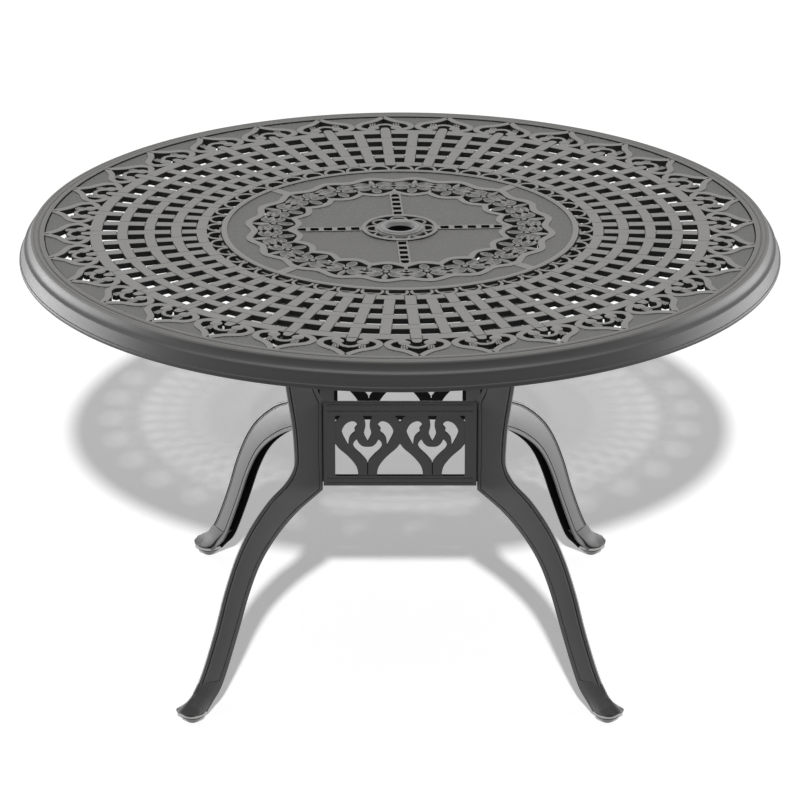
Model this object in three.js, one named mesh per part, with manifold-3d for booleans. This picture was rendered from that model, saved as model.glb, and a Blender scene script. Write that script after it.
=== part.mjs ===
// Round cast-aluminium patio table with an umbrella hole, in millimetres, +Z up.
// The origin is on the floor, straight under the middle of the top. The front is towards -Y.
import * as THREE from 'three';
import { mergeGeometries, mergeVertices } from 'three/addons/utils/BufferGeometryUtils.js';
import Module from 'manifold-3d';

const wasm = await Module();
wasm.setup();

// Driving dimensions
const tableRadius = 600;        // outside of the rim
const faceHeight = 705;         // floor to the upper face of the openwork
const rimWidth = 40;            // rim, measured inwards from the outside
const rimDrop = 41;             // upper face of the openwork down to the rim's lower edge
const rimRise = 4.2;            // highest roll of the rim above the openwork
const castingThickness = 9.2;   // openwork and middle casting
const medallionRadius = 281.7;  // round middle casting
const toeRadius = 487;          // middle of the table to the tip of a toe
const toeOverhang = 27;         // a toe's tip reaches this far past the middle of its glide
const apronDistance = 143;      // middle of the table to an apron's outer face
const apronBottom = 323;        // floor to an apron's lower edge
const apronHeight = 142;
const umbrellaHoleRadius = 20;
const glideTravel = 10;         // how far a levelling glide screws out
const patternTurn = THREE.MathUtils.degToRad(2.9); // the openwork sits a little askew on its base
const fit = 0.3;                // gap between two pieces that touch
const overrun = 5;              // how far a cutter runs past what it cuts

// Rim
const rimSegments = 64;
const ledgeWidth = 10;
const ledgeThickness = 4;
const beadWidth = 8;
const beadRise = 2.4;

// Rim profile from its inner edge outwards, as shares of the bead, the roll and the skirt:
// [outwards, up], then [inwards from the outside, up] and [inwards from the outside, down]
const beadShares = [[0, 0], [0.3, 1], [0.8, 1], [1.1, 0.5]];
const rollShares = [[0.62, 1], [0.51, 0.55]];
const skirtShares = [
  [0.44, 0.10], [0.35, 0.31], [0.25, 0.40], [0.20, 0.46], [0.06, 0.72], [0, 0.90], [0.05, 1],
];
const liningShares = [[0.15, 0.96], [0.36, 0.56]];

// Openwork: radii are shares of the field inside the rim, angles are in degrees
const fieldRadius = tableRadius - rimWidth;
const spokeCount = 64;
const motifCount = 32;
const loopCount = 48;
const spokeWidthShare = 0.030;
const weaveRadiusShares = [0.5585, 0.630, 0.705, 0.781, 0.8535];
const weaveWidthShare = 0.029;
const medallionSegments = 40;

// Openings of one pointed motif, as [radius, sideways] shares, first along its own axis
const motifTipShares = [[0.940, -0.030], [0.984, 0], [0.940, 0.030]];
const motifCuspShares = [[0.870, -0.020], [0.902, 0], [0.870, 0.020]];
const loopShares = [[0.5125, -0.020], [0.537, -0.013], [0.537, 0.013], [0.5125, 0.020]];

// Middle casting: shares of the field as well
const flowerCount = 20;
const flowerGapShares = [
  [[0.322, -0.019], [0.354, -0.014], [0.354, 0.014], [0.322, 0.019]],
  [[0.378, -0.016], [0.400, -0.022], [0.400, 0.022], [0.378, 0.016]],
];
const slotRadiusShares = [0.126, 0.165, 0.203, 0.241, 0.277];
const slotLengthShare = 0.0175;  // along the arm
const slotWidthShare = 0.0215;   // across it
const slotArms = 4;
const hubRingShares = [0.096, 0.108];
const hubLoopCount = 8;
const hubGapShares = [[0.073, -0.004], [0.093, -0.013], [0.093, 0.013], [0.073, 0.004]];
const hubRingRise = 1.5;
const shelfWidth = 9;

// Umbrella collar
const collarSegments = 24;
const collarWall = 12.5;
const collarFlange = 4.5;
const collarFlangeThickness = 2.7;
const collarFunnel = 7;
const collarFunnelDepth = 8.5;
const collarLength = 52;
const collarTipWall = 3.5;

// Legs: a hollow wedge, narrow outside and open towards the middle of the table
const postInset = 17.63;        // a leg's open edge lies this far inside the corner that the aprons make
const postDepth = 50;
const legOpening = 26;
const legWall = 2.5;
const noseWidth = 7;
const noseFlat = 4;
const noseRound = 1.5;
const noseWall = 6;
const kneeDrop = 8;             // an inner knee lies this far below the apron
const shoulderRise = 2;         // the inner shoulder lies this far above the apron
const glideHeight = 12;
const flangeThickness = 6;
const flangeLength = 48;
const flangeWidth = 66;
const padThickness = 8;
const flangeSetback = 32.6;     // a flange's middle lies this far inside the middle casting's edge
const sectionsPerPair = 1;

// Shape of a leg as pairs of [outer radius, outer height, inner radius, inner height].
// Radii run out from the post. Heights are shares of the leg's rise over the shoulder,
// of the post between knee and shoulder, and of the knee's own height.
const armShares = [
  [1, 1, 1.09, 1],
  [0.835, 0.725, 0.974, 0.725],
  [0.624, 0.427, 0.739, 0.390],
  [0.388, 0.147, 0.362, 0.138],
];
const shoulderShares = [0.106, 0.82, 0, 1];
const postShares = [
  [0, 0.559, 0, 0.559],
  [0.01, 0.349, 0, 0.197],
];
const shinShares = [
  [0.071, 1.089, 0, 1],
  [0.225, 1.022, 0.227, 0.930],
  [0.389, 0.911, 0.406, 0.838],
  [0.505, 0.787, 0.537, 0.733],
  [0.604, 0.625, 0.636, 0.597],
  [0.683, 0.454, 0.729, 0.419],
  [0.774, 0.286, 0.828, 0.238],
  [0.836, 0.193, 0.893, 0.140],
  [0.881, 0.146, 0.960, 0.084],
  [0.905, 0.127, 1.014, 0.040],
];
// The foot begins as a wedge inside the shin and spreads to a round toe over the glide
const footShares = [
  [0.889, 0.138, 1.002, 0.010],
  [0.913, 0.122, 1.052, 0],
  [0.941, 0.108, 1.103, 0],
  [0.972, 0.092, 1.152, 0],
  [1, 0.078, 1.188, 0.008],
];
const footWidthShares = [0.92, 1.35, 1.54, 1.35, 0.69];
const footNoseShares = [0.9, 1.6, 2.3, 2.9, 2.0];

// Aprons
const apronWidth = 241.4;
const apronThickness = 8;
const stileWidth = 18.6;
const topRail = 22;
const bottomRail = 17;
const lugInset = 6;

// Openings of half a heart scroll, as shares of half an apron's opening, mirrored to its right
const heartFootShares = [
  [0.353, 0], [0.350, 0.060], [0.328, 0.145], [0.272, 0.235],
  [0.178, 0.340], [0.063, 0.442], [0, 0.525], [0, 0],
];
const heartLobeShares = [
  [0.200, 0.498], [0.214, 0.608], [0.250, 0.671], [0.307, 0.722], [0.297, 0.775], [0.345, 0.835],
  [0.315, 0.880], [0.255, 0.896], [0.170, 0.855], [0.112, 0.765], [0.112, 0.680],
];
const heartMoonShares = [
  [0.500, 0.225], [0.500, 0.474], [0.422, 0.485], [0.365, 0.535], [0.333, 0.596], [0.295, 0.560],
  [0.278, 0.498], [0.310, 0.432], [0.400, 0.345],
];
const heartSlotShares = [
  [0.500, 0.561], [0.500, 0.985], [0.425, 0.985], [0.458, 0.893],
  [0.468, 0.814], [0.445, 0.711], [0.458, 0.645],
];
const heartCornerShares = [[0, 0.985], [0, 0.875], [0.060, 0.985]];

// Corner braces and fasteners
const braceThickness = 5;
const braceSetback = 11.3;      // the brace's outer face lies this far inside the leg's open edge
const braceInset = 16;
const braceClearance = 1;
const boltInset = 34;           // corner bolts, measured in from the apron's edges
const cornerBolt = { radius: 3, head: 5.8, headHeight: 4.2 };
const topBolt = { radius: 4, head: 7.5, headHeight: 5.3 };
const castingScrew = { radius: 2, head: 4, headHeight: 2.4 };
const headSides = 6;
const shankSides = 6;
const cornerBoltReach = 18;     // how far a corner bolt runs into the leg
const topBoltReach = 10;
const castingScrewReach = 5;
const outerScrewMotifs = [2.5, 5.5]; // outer screws, counted in motifs from a quarter's seam
const bossLength = 21;
const bossHeight = 24;
const bossTaper = 4;
const topBoltSpacing = 44;
const blindGap = 1.5;        // spare depth at the end of a blind hole

// Levelling glides
const glideRadius = 18.5;
const glideSoleRadius = 8;
const glideStemRadius = 4;
const glideGrip = 7;            // thread left in the foot when a glide is screwed right out
const glideStemLength = glideTravel + glideGrip;
const glideSides = 10;
const glideSkirtShares = [[0.62, 0.25], [1, 0.75], [1, 1]]; // [radius, height] from the sole up

// Heights and places that follow
const hubHoleRadius = umbrellaHoleRadius + collarWall;
const footRadius = toeRadius - toeOverhang;
const castingBottom = faceHeight - castingThickness;
const ledgeTop = castingBottom - fit;
const ledgeInner = fieldRadius - ledgeWidth;
const postInner = apronDistance * Math.SQRT2 - postInset;
const postOuter = postInner + postDepth;
const kneeHeight = apronBottom - kneeDrop;
const shoulderHeight = apronBottom + apronHeight + shoulderRise;
const padBottom = castingBottom - padThickness;
const flangeTop = padBottom - fit;
const flangeBottom = flangeTop - flangeThickness;
const armTop = flangeBottom + flangeThickness / 3;
const flangeMiddle = medallionRadius - flangeSetback;
const legTopReach = flangeMiddle - (postInner + postOuter) / 2; // how far the leg leans out above its waist

const materials = {
  casting: { color: 0x8b8c8d, roughness: 0.5, metalness: 0.35 },
  rim: { color: 0x8f9091, roughness: 0.4, metalness: 0.35 },
  base: { color: 0x77787a, roughness: 0.45, metalness: 0.35 },
  collar: { color: 0xa2a3a4, roughness: 0.3, metalness: 0.6 },
  hardware: { color: 0x9a9b9c, roughness: 0.35, metalness: 0.9 },
  glide: { color: 0x55575a, roughness: 0.6, metalness: 0 },
};

const quarterTurns = [0, 1, 2, 3].map((count) => count * Math.PI / 2);
const legAngles = quarterTurns.map((angle) => angle + Math.PI / 4);
const seamAngles = legAngles;   // from the rear, turning left, before the pattern's own turn

const table = new THREE.Group();

function addMesh(name, geometry, finish, turn = 0) {
  const mesh = new THREE.Mesh(geometry, new THREE.MeshStandardMaterial(materials[finish]));
  mesh.name = name;
  mesh.rotation.z = turn;
  table.add(mesh);
}

// A copy with nothing but the places of its corners
function bareCopy(geometry) {
  const copy = geometry.index ? geometry.toNonIndexed() : geometry.clone();
  copy.deleteAttribute('normal');
  copy.deleteAttribute('uv');
  return copy;
}

function solidFrom(geometry) {
  const merged = mergeVertices(bareCopy(geometry));
  return new wasm.Manifold(new wasm.Mesh({
    numProp: 3,
    vertProperties: new Float32Array(merged.attributes.position.array),
    triVerts: new Uint32Array(merged.index.array),
  }));
}

function geometryFrom(solid) {
  const { vertProperties, triVerts } = solid.getMesh();
  const geometry = new THREE.BufferGeometry();
  geometry.setAttribute('position', new THREE.BufferAttribute(vertProperties, 3));
  geometry.setIndex(new THREE.BufferAttribute(triVerts, 1));
  return geometry;
}

function union(geometries) {
  return geometries.map(solidFrom).reduce((whole, piece) => whole.add(piece));
}

function cut(solid, cutters) {
  return cutters.map(solidFrom).reduce((whole, cutter) => whole.subtract(cutter), solid);
}

// A point at a radius and an angle from the rear, turning left, shifted sideways
function polar(radius, angle, sideways = 0) {
  const sine = Math.sin(angle);
  const cosine = Math.cos(angle);
  return new THREE.Vector2(-radius * sine - sideways * cosine, radius * cosine - sideways * sine);
}

function arc(radius, from, to, segments) {
  const points = [];
  for (let i = 0; i <= segments; i += 1) {
    points.push(polar(radius, from + (to - from) * i / segments));
  }
  return points;
}

// Extrudes an outline upwards from a height
function plate(outline, bottom, thickness) {
  const shape = new THREE.Shape(outline);
  const geometry = new THREE.ExtrudeGeometry(shape, { depth: thickness, bevelEnabled: false });
  return geometry.translate(0, 0, bottom);
}

// A plate with holes right through it
function pierced(outline, holes, bottom, thickness) {
  const cutters = holes.map((hole) => bareCopy(plate(hole, bottom - overrun, thickness + 2 * overrun)));
  return cut(solidFrom(plate(outline, bottom, thickness)), [mergeGeometries(cutters)]);
}

// Turns a closed profile of [radius, height] points round the vertical axis
function turned(profile, segments) {
  const points = [...profile, profile[0]].map(([radius, height]) => new THREE.Vector2(radius, height));
  return new THREE.LatheGeometry(points, segments).rotateX(Math.PI / 2);
}

function box(from, to) {
  const size = to.clone().sub(from);
  const middle = from.clone().add(to).multiplyScalar(0.5);
  return new THREE.BoxGeometry(size.x, size.y, size.z).translate(middle.x, middle.y, middle.z);
}

// Joins closed loops of the same number of points into one skin with flat ends
function loft(loops, outline) {
  const count = outline.length;
  const positions = loops.flat().flatMap((point) => point.toArray());
  const index = [];
  for (let row = 0; row < loops.length - 1; row += 1) {
    for (let i = 0; i < count; i += 1) {
      const a = row * count + i;
      const b = row * count + (i + 1) % count;
      index.push(a, b, a + count, b, b + count, a + count);
    }
  }
  const last = (loops.length - 1) * count;
  for (const [a, b, c] of THREE.ShapeUtils.triangulateShape(outline, [])) {
    index.push(c, b, a, last + a, last + b, last + c);
  }
  const geometry = new THREE.BufferGeometry();
  geometry.setAttribute('position', new THREE.Float32BufferAttribute(positions, 3));
  geometry.setIndex(index);
  return geometry;
}

// Rolled rim: bead, groove, roll, cove, ridge and skirt, with a ledge under the openwork
function rimProfile() {
  const bead = beadShares.map(([out, up]) => [fieldRadius + beadWidth * out, faceHeight + beadRise * up]);
  const roll = rollShares.map(([inward, up]) => [tableRadius - rimWidth * inward, faceHeight + rimRise * up]);
  const below = ([inward, down]) => [tableRadius - rimWidth * inward, faceHeight - rimDrop * down];
  const ledge = [
    [fieldRadius, ledgeTop - ledgeThickness],
    [ledgeInner, ledgeTop - ledgeThickness],
    [ledgeInner, ledgeTop],
    [fieldRadius, ledgeTop],
  ];
  return [...bead, ...roll, ...skirtShares.map(below), ...liningShares.map(below), ...ledge].reverse();
}

// Places of the three screws that hold a quarter casting down, for the quarter from the rear to the left
function screwPlaces() {
  const motif = 2 * Math.PI / motifCount;
  const outer = outerScrewMotifs.map((count) => polar(fieldRadius - ledgeWidth / 2, count * motif));
  const inner = polar(medallionRadius + shelfWidth / 2, Math.PI / 4);
  return [...outer, inner];
}

function screwHole(place, bottom, top) {
  return verticalCylinder(castingScrew.radius + fit, bottom, top, shankSides).translate(place.x, place.y, 0);
}

// Holes of the woven field between the first and last quarter spoke
function weaveHoles() {
  const holes = [];
  const step = 2 * Math.PI / spokeCount;
  const spokeHalf = fieldRadius * spokeWidthShare / 2;
  for (let sector = 0; sector < spokeCount / 4; sector += 1) {
    for (let row = 0; row < weaveRadiusShares.length - 1; row += 1) {
      const inner = fieldRadius * (weaveRadiusShares[row] + weaveWidthShare / 2);
      const outer = fieldRadius * (weaveRadiusShares[row + 1] - weaveWidthShare / 2);
      const left = sector * step;
      holes.push([
        polar(inner, left, spokeHalf),
        polar(outer, left, spokeHalf),
        polar(outer, left + step, -spokeHalf),
        polar(inner, left + step, -spokeHalf),
      ]);
    }
  }
  return holes;
}

function patternHole(shares, angle) {
  return shares.map(([radius, sideways]) => polar(fieldRadius * radius, angle, fieldRadius * sideways));
}

// Openings of the pointed motifs; the quarter starts and ends in the middle of a motif
function motifHoles() {
  const holes = [];
  const step = 2 * Math.PI / motifCount;
  for (let motif = 0; motif < motifCount / 4; motif += 1) {
    holes.push(patternHole(motifCuspShares, (motif + 0.5) * step));
    if (motif > 0) {
      holes.push(patternHole(motifTipShares, motif * step));
    }
  }
  return holes;
}

function loopHoles() {
  const holes = [];
  const step = 2 * Math.PI / loopCount;
  for (let loop = 0; loop < loopCount / 4; loop += 1) {
    holes.push(patternHole(loopShares, (loop + 0.5) * step));
  }
  return holes;
}

// One quarter of the openwork, cut a hair short of its two seams
function latticeQuarter() {
  const inner = medallionRadius + fit;
  const outer = fieldRadius * Math.cos(Math.PI / rimSegments) - fit;
  const seam = (radius) => Math.asin(fit / 2 / radius);
  const quarter = Math.PI / 2;
  const outline = [
    ...arc(inner, seam(inner), quarter - seam(inner), medallionSegments / 4),
    ...arc(outer, seam(outer), quarter - seam(outer), rimSegments / 4).reverse(),
  ];
  const holes = [...weaveHoles(), ...motifHoles(), ...loopHoles()];
  const body = pierced(outline, holes, castingBottom, castingThickness);
  const screwTop = castingBottom + castingScrewReach + blindGap;
  const screws = screwPlaces().map((place) => screwHole(place, castingBottom - overrun, screwTop));
  return geometryFrom(cut(body, screws));
}

function slotHoles() {
  const holes = [];
  const length = fieldRadius * slotLengthShare / 2;
  const width = fieldRadius * slotWidthShare / 2;
  for (let arm = 0; arm < slotArms; arm += 1) {
    const angle = arm * 2 * Math.PI / slotArms;
    for (const share of slotRadiusShares) {
      const radius = fieldRadius * share;
      holes.push([
        polar(radius - length, angle, -width),
        polar(radius + length, angle, -width),
        polar(radius + length, angle, width),
        polar(radius - length, angle, width),
      ]);
    }
  }
  return holes;
}

// Openings between the small loops round the hub
function hubHoles() {
  const step = 2 * Math.PI / hubLoopCount;
  return Array.from({ length: hubLoopCount }, (_, loop) => patternHole(hubGapShares, (loop + 0.5) * step));
}

function flowerHoles() {
  const holes = [];
  for (let flower = 0; flower < flowerCount; flower += 1) {
    const angle = flower * 2 * Math.PI / flowerCount;
    for (const shares of flowerGapShares) {
      holes.push(patternHole(shares, angle));
    }
  }
  return holes;
}

function circle(radius, segments) {
  return arc(radius, 0, 2 * Math.PI, segments).slice(1);
}

function ring(inner, outer, bottom, thickness, segments) {
  return pierced(circle(outer, segments), [circle(inner, segments)], bottom, thickness);
}

// Middle casting with its hub ring, the shelf under the quarters and four pads for the legs
function medallion() {
  const holes = [...slotHoles(), ...flowerHoles(), ...hubHoles(), circle(hubHoleRadius, collarSegments)];
  const disc = pierced(circle(medallionRadius, medallionSegments), holes, castingBottom, castingThickness);
  const [ringInner, ringOuter] = hubRingShares.map((share) => share * fieldRadius);
  const hubRing = ring(ringInner, ringOuter, faceHeight - hubRingRise, 2 * hubRingRise, collarSegments);
  const shelfInner = medallionRadius - shelfWidth;
  const shelfBottom = ledgeTop - ledgeThickness;
  const shelfOuter = medallionRadius + shelfWidth;
  const shelf = ring(shelfInner, shelfOuter, shelfBottom, ledgeThickness, medallionSegments);
  const web = ring(shelfInner, medallionRadius - fit, ledgeTop - fit, ledgeThickness, medallionSegments);
  const additions = [hubRing, shelf, web, ...legPads().map(solidFrom)];
  const body = additions.reduce((whole, piece) => whole.add(piece), disc);
  const shelfHoles = seamAngles.map((angle) => (
    screwHole(screwPlaces()[2], shelfBottom - overrun, ledgeTop + overrun).rotateZ(angle)
  ));
  return geometryFrom(cut(body, [...shelfHoles, ...padHoles()]));
}

// Pads under the middle casting, turned back by the pattern's own turn so that they meet the legs
function legPads() {
  return legAngles.map((angle) => box(
    new THREE.Vector3(flangeMiddle - flangeLength / 2, -flangeWidth / 2, padBottom),
    new THREE.Vector3(flangeMiddle + flangeLength / 2, flangeWidth / 2, castingBottom + castingThickness / 4),
  ).rotateZ(angle - patternTurn));
}

function padHoles() {
  const top = padBottom + topBoltReach + blindGap;
  return legAngles.flatMap((angle) => [-1, 1].map((side) => (
    verticalCylinder(topBolt.radius + fit, padBottom - overrun, top, shankSides)
      .translate(flangeMiddle, side * topBoltSpacing / 2, 0)
      .rotateZ(angle - patternTurn)
  )));
}

function verticalCylinder(radius, bottom, top, sides) {
  const cylinder = new THREE.CylinderGeometry(radius, radius, top - bottom, sides);
  return cylinder.rotateX(Math.PI / 2).translate(0, 0, (top + bottom) / 2);
}

// Drop-in reducer for the umbrella pole: a flange on the hub and a funnel down to the throat
function collar() {
  const body = hubHoleRadius - fit;
  const top = faceHeight + fit + collarFlangeThickness;
  const tip = faceHeight - collarLength;
  return turned([
    [umbrellaHoleRadius, tip],
    [umbrellaHoleRadius + collarTipWall, tip],
    [body, castingBottom - castingThickness],
    [body, faceHeight + fit],
    [body + collarFlange, faceHeight + fit],
    [body + collarFlange, top - collarFlangeThickness / 2],
    [body + collarFlange / 2, top],
    [umbrellaHoleRadius + collarFunnel, top],
    [umbrellaHoleRadius, top - collarFunnelDepth],
  ], collarSegments);
}

// Pairs of outer and inner points down the leg, in the leg's own upright plane
function legPairs() {
  const reach = toeRadius - postOuter;
  const rise = armTop - shoulderHeight;
  const post = shoulderHeight - kneeHeight;
  const arm = armShares.map(([outer, outerUp, inner, innerUp]) => [
    new THREE.Vector2(postOuter + outer * legTopReach, shoulderHeight + outerUp * rise),
    new THREE.Vector2(postInner + inner * legTopReach, shoulderHeight + innerUp * rise),
  ]);
  const waist = [shoulderShares, ...postShares].map(([outer, outerUp, inner, innerUp]) => [
    new THREE.Vector2(postOuter + outer * legTopReach, kneeHeight + outerUp * post),
    new THREE.Vector2(postInner + inner * legTopReach, kneeHeight + innerUp * post),
  ]);
  const shin = shinShares.map(([outer, outerUp, inner, innerUp]) => [
    new THREE.Vector2(postOuter + outer * reach, outerUp * kneeHeight),
    new THREE.Vector2(postInner + inner * reach, innerUp * kneeHeight),
  ]);
  return { arm, waist, shin };
}

// Samples a spline through some points, a few places to each stretch
function sampled(points) {
  const spline = new THREE.SplineCurve(points);
  return spline.getPoints((points.length - 1) * sectionsPerPair);
}

function sectionLoop(outer, inner, outline) {
  const inward = inner.clone().sub(outer).normalize();
  return outline.map(({ x, y }) => new THREE.Vector3(outer.x + inward.x * x, y, outer.y + inward.y * x));
}

// Mirrors half an outline of [inward, sideways] points into a whole one
function bothSides(half) {
  const left = half.map(([x, y]) => new THREE.Vector2(x, -y));
  const right = half.map(([x, y]) => new THREE.Vector2(x, y)).reverse();
  return [...left, ...right];
}

function channelOutline(depth) {
  const half = [
    [0, noseFlat / 2],
    [noseRound, noseWidth / 2],
    [depth, legOpening / 2],
    [depth, legOpening / 2 - legWall],
    [noseWall, noseFlat / 2 - fit],
  ];
  return bothSides(half);
}

// The open channel: its inner edge has a corner at the shoulder and at the knee
function legChannel() {
  const { arm, waist, shin } = legPairs();
  const pairs = [...arm, ...waist, ...shin];
  const outer = sampled(pairs.map((pair) => pair[0]));
  const shoulder = waist[0][1];
  const knee = shin[0][1];
  const innerRuns = [
    [...arm.map((pair) => pair[1]), shoulder],
    [shoulder, waist[1][1], waist[2][1], knee],
    shin.map((pair) => pair[1]),
  ];
  const inner = innerRuns.flatMap((run, i) => sampled(run).slice(i === 0 ? 0 : 1));
  const loops = outer.map((point, i) => (
    sectionLoop(point, inner[i], channelOutline(point.distanceTo(inner[i])))
  ));
  return loft(loops, channelOutline(outer[0].distanceTo(inner[0])));
}

function footOutline(depth, width, nose) {
  const half = [
    [0, noseFlat / 2 * nose],
    [noseRound, noseWidth / 2 * nose],
    [depth - noseRound, legOpening / 2 * width],
    [depth, legOpening / 2 * width - noseRound],
  ];
  return bothSides(half);
}

// The solid slipper foot, from inside the shin down to the toe
function legFoot() {
  const reach = toeRadius - postOuter;
  const pairs = footShares.map(([outer, outerUp, inner, innerUp]) => [
    new THREE.Vector2(postOuter + outer * reach, outerUp * kneeHeight),
    new THREE.Vector2(postInner + inner * reach, glideHeight + innerUp * kneeHeight),
  ]);
  const loops = pairs.map(([outer, inner], i) => (
    sectionLoop(outer, inner, footOutline(outer.distanceTo(inner), footWidthShares[i], footNoseShares[i]))
  ));
  return loft(loops, footOutline(pairs[0][0].distanceTo(pairs[0][1]), footWidthShares[0], footNoseShares[0]));
}

// Blocks inside the post that the corner bolts screw into
function legBosses() {
  return cornerBoltHeights().map((height) => {
    const start = postInner + fit * 2;
    const wide = legOpening / 2 - legWall / 2;
    const narrow = wide - bossTaper;
    const outline = [
      new THREE.Vector2(start, -wide),
      new THREE.Vector2(start + bossLength, -narrow),
      new THREE.Vector2(start + bossLength, narrow),
      new THREE.Vector2(start, wide),
    ];
    return plate(outline, height - bossHeight / 2, bossHeight);
  });
}

function cornerBoltHeights() {
  return [apronBottom + boltInset, apronBottom + apronHeight - boltInset];
}

// A cylinder that points outwards along a leg's plane at a height
function outwardCylinder(radius, from, to, height, sides) {
  return verticalCylinder(radius, from, to, sides).rotateY(Math.PI / 2).translate(0, 0, height);
}

function leg() {
  const flange = box(
    new THREE.Vector3(flangeMiddle - flangeLength / 2, -flangeWidth / 2, flangeBottom),
    new THREE.Vector3(flangeMiddle + flangeLength / 2, flangeWidth / 2, flangeTop),
  );
  const body = union([legChannel(), legFoot(), flange, ...legBosses()]);
  const cornerHoleEnd = postInner + cornerBoltReach + blindGap;
  const cornerHoles = cornerBoltHeights().map((height) => (
    outwardCylinder(cornerBolt.radius + fit, postInner - overrun, cornerHoleEnd, height, shankSides)
  ));
  const flangeHoles = [-1, 1].map((side) => (
    verticalCylinder(topBolt.radius + fit, flangeBottom - overrun, flangeTop + overrun, shankSides)
      .translate(flangeMiddle, side * topBoltSpacing / 2, 0)
  ));
  const stemTop = glideHeight - fit + glideStemLength + blindGap;
  const stemHole = verticalCylinder(glideStemRadius + fit, -overrun, stemTop, glideSides)
    .translate(footRadius, 0, 0);
  return geometryFrom(cut(body, [...cornerHoles, ...flangeHoles, stemHole]));
}

// The brace's outer face, and the leg's open edge, as distances along the corner's diagonal
function braceFace() {
  return postInner - braceSetback;
}

// A point near a corner as [outwards, sideways] of the apron, from its place along and across the diagonal
function cornerPoint(along, across) {
  return new THREE.Vector2((along + across) * Math.SQRT1_2, (along - across) * Math.SQRT1_2);
}

// Mitred lug at an apron's end: it lies between the corner brace and the leg's open edge
function apronLug(side) {
  const back = apronDistance - apronThickness;
  const half = apronWidth / 2;
  const near = braceFace() + fit;
  const far = postInner - fit;
  const gap = cornerBolt.radius + blindGap;
  const inset = apronThickness / 3;
  const heel = cornerPoint(near, back * Math.SQRT2 - near);
  const tip = cornerPoint(far, far - half * Math.SQRT2);
  const outline = [
    new THREE.Vector2(back + inset, heel.y),
    heel,
    cornerPoint(near, gap),
    cornerPoint(far, gap),
    tip,
    new THREE.Vector2(tip.x, half - inset),
  ].map((point) => new THREE.Vector2(point.x, point.y * side));
  return plate(outline, apronBottom + lugInset, apronHeight - 2 * lugInset);
}

// Openings of both hearts; the parts that meet in the middle are one opening
function apronHoles() {
  const width = apronWidth - 2 * stileWidth;
  const height = apronHeight - topRail - bottomRail;
  const cell = width / 2;
  const base = apronBottom + bottomRail;
  const point = ([x, y]) => new THREE.Vector2(x * cell - width / 2, base + y * height);
  const mirrorCell = (shares) => shares.map(([x, y]) => [1 - x, y]).reverse();
  const mirrorPanel = (shares) => shares.map(([x, y]) => [2 - x, y]).reverse();
  const twice = (shares) => [shares, mirrorPanel(shares)];
  const closed = (shares) => {
    const inner = shares.filter(([x]) => x < 0.5);
    const ends = shares.filter(([x]) => x === 0.5);
    return [ends[1], ...inner, ends[0], ...mirrorCell(inner)];
  };
  const holes = [
    ...twice(heartFootShares),
    ...twice(heartLobeShares),
    ...twice(mirrorCell(heartLobeShares)),
    ...twice(closed(heartMoonShares)),
    ...twice(closed(heartSlotShares)),
    ...twice(heartCornerShares),
    joinedFoot(mirrorCell, mirrorPanel),
    joinedCorner(mirrorCell, mirrorPanel),
  ];
  return holes.map((hole) => hole.map(point));
}

function joinedFoot(mirrorCell, mirrorPanel) {
  const right = mirrorCell(heartFootShares).filter(([x]) => x < 1);
  const apex = [1, heartFootShares.at(-2)[1]];
  return [...right, ...mirrorPanel(right), apex].filter(uniquePlace);
}

function joinedCorner(mirrorCell, mirrorPanel) {
  const right = mirrorCell(heartCornerShares).filter(([x]) => x < 1);
  const apex = [1, heartCornerShares[1][1]];
  return [...right, ...mirrorPanel(right), apex];
}

function uniquePlace(place, index, places) {
  return places.findIndex(([x, y]) => x === place[0] && y === place[1]) === index;
}

// Cast panel between two legs, facing +X before it is turned to its side
function apron() {
  const half = apronWidth / 2;
  const top = apronBottom + apronHeight;
  const outline = [
    new THREE.Vector2(-half, apronBottom),
    new THREE.Vector2(half, apronBottom),
    new THREE.Vector2(half, top),
    new THREE.Vector2(-half, top),
  ];
  const upright = new THREE.Matrix4().makeBasis(
    new THREE.Vector3(0, 1, 0),
    new THREE.Vector3(0, 0, 1),
    new THREE.Vector3(1, 0, 0),
  );
  const panel = pierced(outline, apronHoles(), apronDistance - apronThickness, apronThickness);
  const face = geometryFrom(panel).applyMatrix4(upright);
  return geometryFrom(union([face, apronLug(1), apronLug(-1)]));
}

// Flat bar across the inside of a corner that draws both aprons against the leg
function cornerBrace() {
  const outer = braceFace();
  const half = (apronDistance - apronThickness) * Math.SQRT2 - outer - braceClearance;
  const body = solidFrom(box(
    new THREE.Vector3(outer - braceThickness, -half, apronBottom + braceInset),
    new THREE.Vector3(outer, half, apronBottom + apronHeight - braceInset),
  ));
  const start = outer - braceThickness - overrun;
  const holes = cornerBoltHeights().map((height) => (
    outwardCylinder(cornerBolt.radius + fit, start, outer + overrun, height, shankSides)
  ));
  return geometryFrom(cut(body, holes));
}

// A fastener along +Z from the face that its hexagon head bears on
function fastener(size, reach) {
  const head = verticalCylinder(size.head, -size.headHeight, 0, headSides);
  const shank = verticalCylinder(size.radius, -size.headHeight / 2, reach, shankSides);
  return geometryFrom(union([head, shank]));
}

// Two bolts outwards along each corner's diagonal, through the brace and into the leg
function addCornerBolts() {
  const seat = braceFace() - braceThickness - fit;
  const shape = fastener(cornerBolt, postInner + cornerBoltReach - seat).rotateY(Math.PI / 2);
  corners.forEach((corner, i) => {
    cornerBoltHeights().forEach((height, row) => {
      const name = `corner_bolt_${corner}_${row === 0 ? 'lower' : 'upper'}`;
      addMesh(name, shape.clone().translate(seat, 0, height), 'hardware', legAngles[i]);
    });
  });
}

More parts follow.
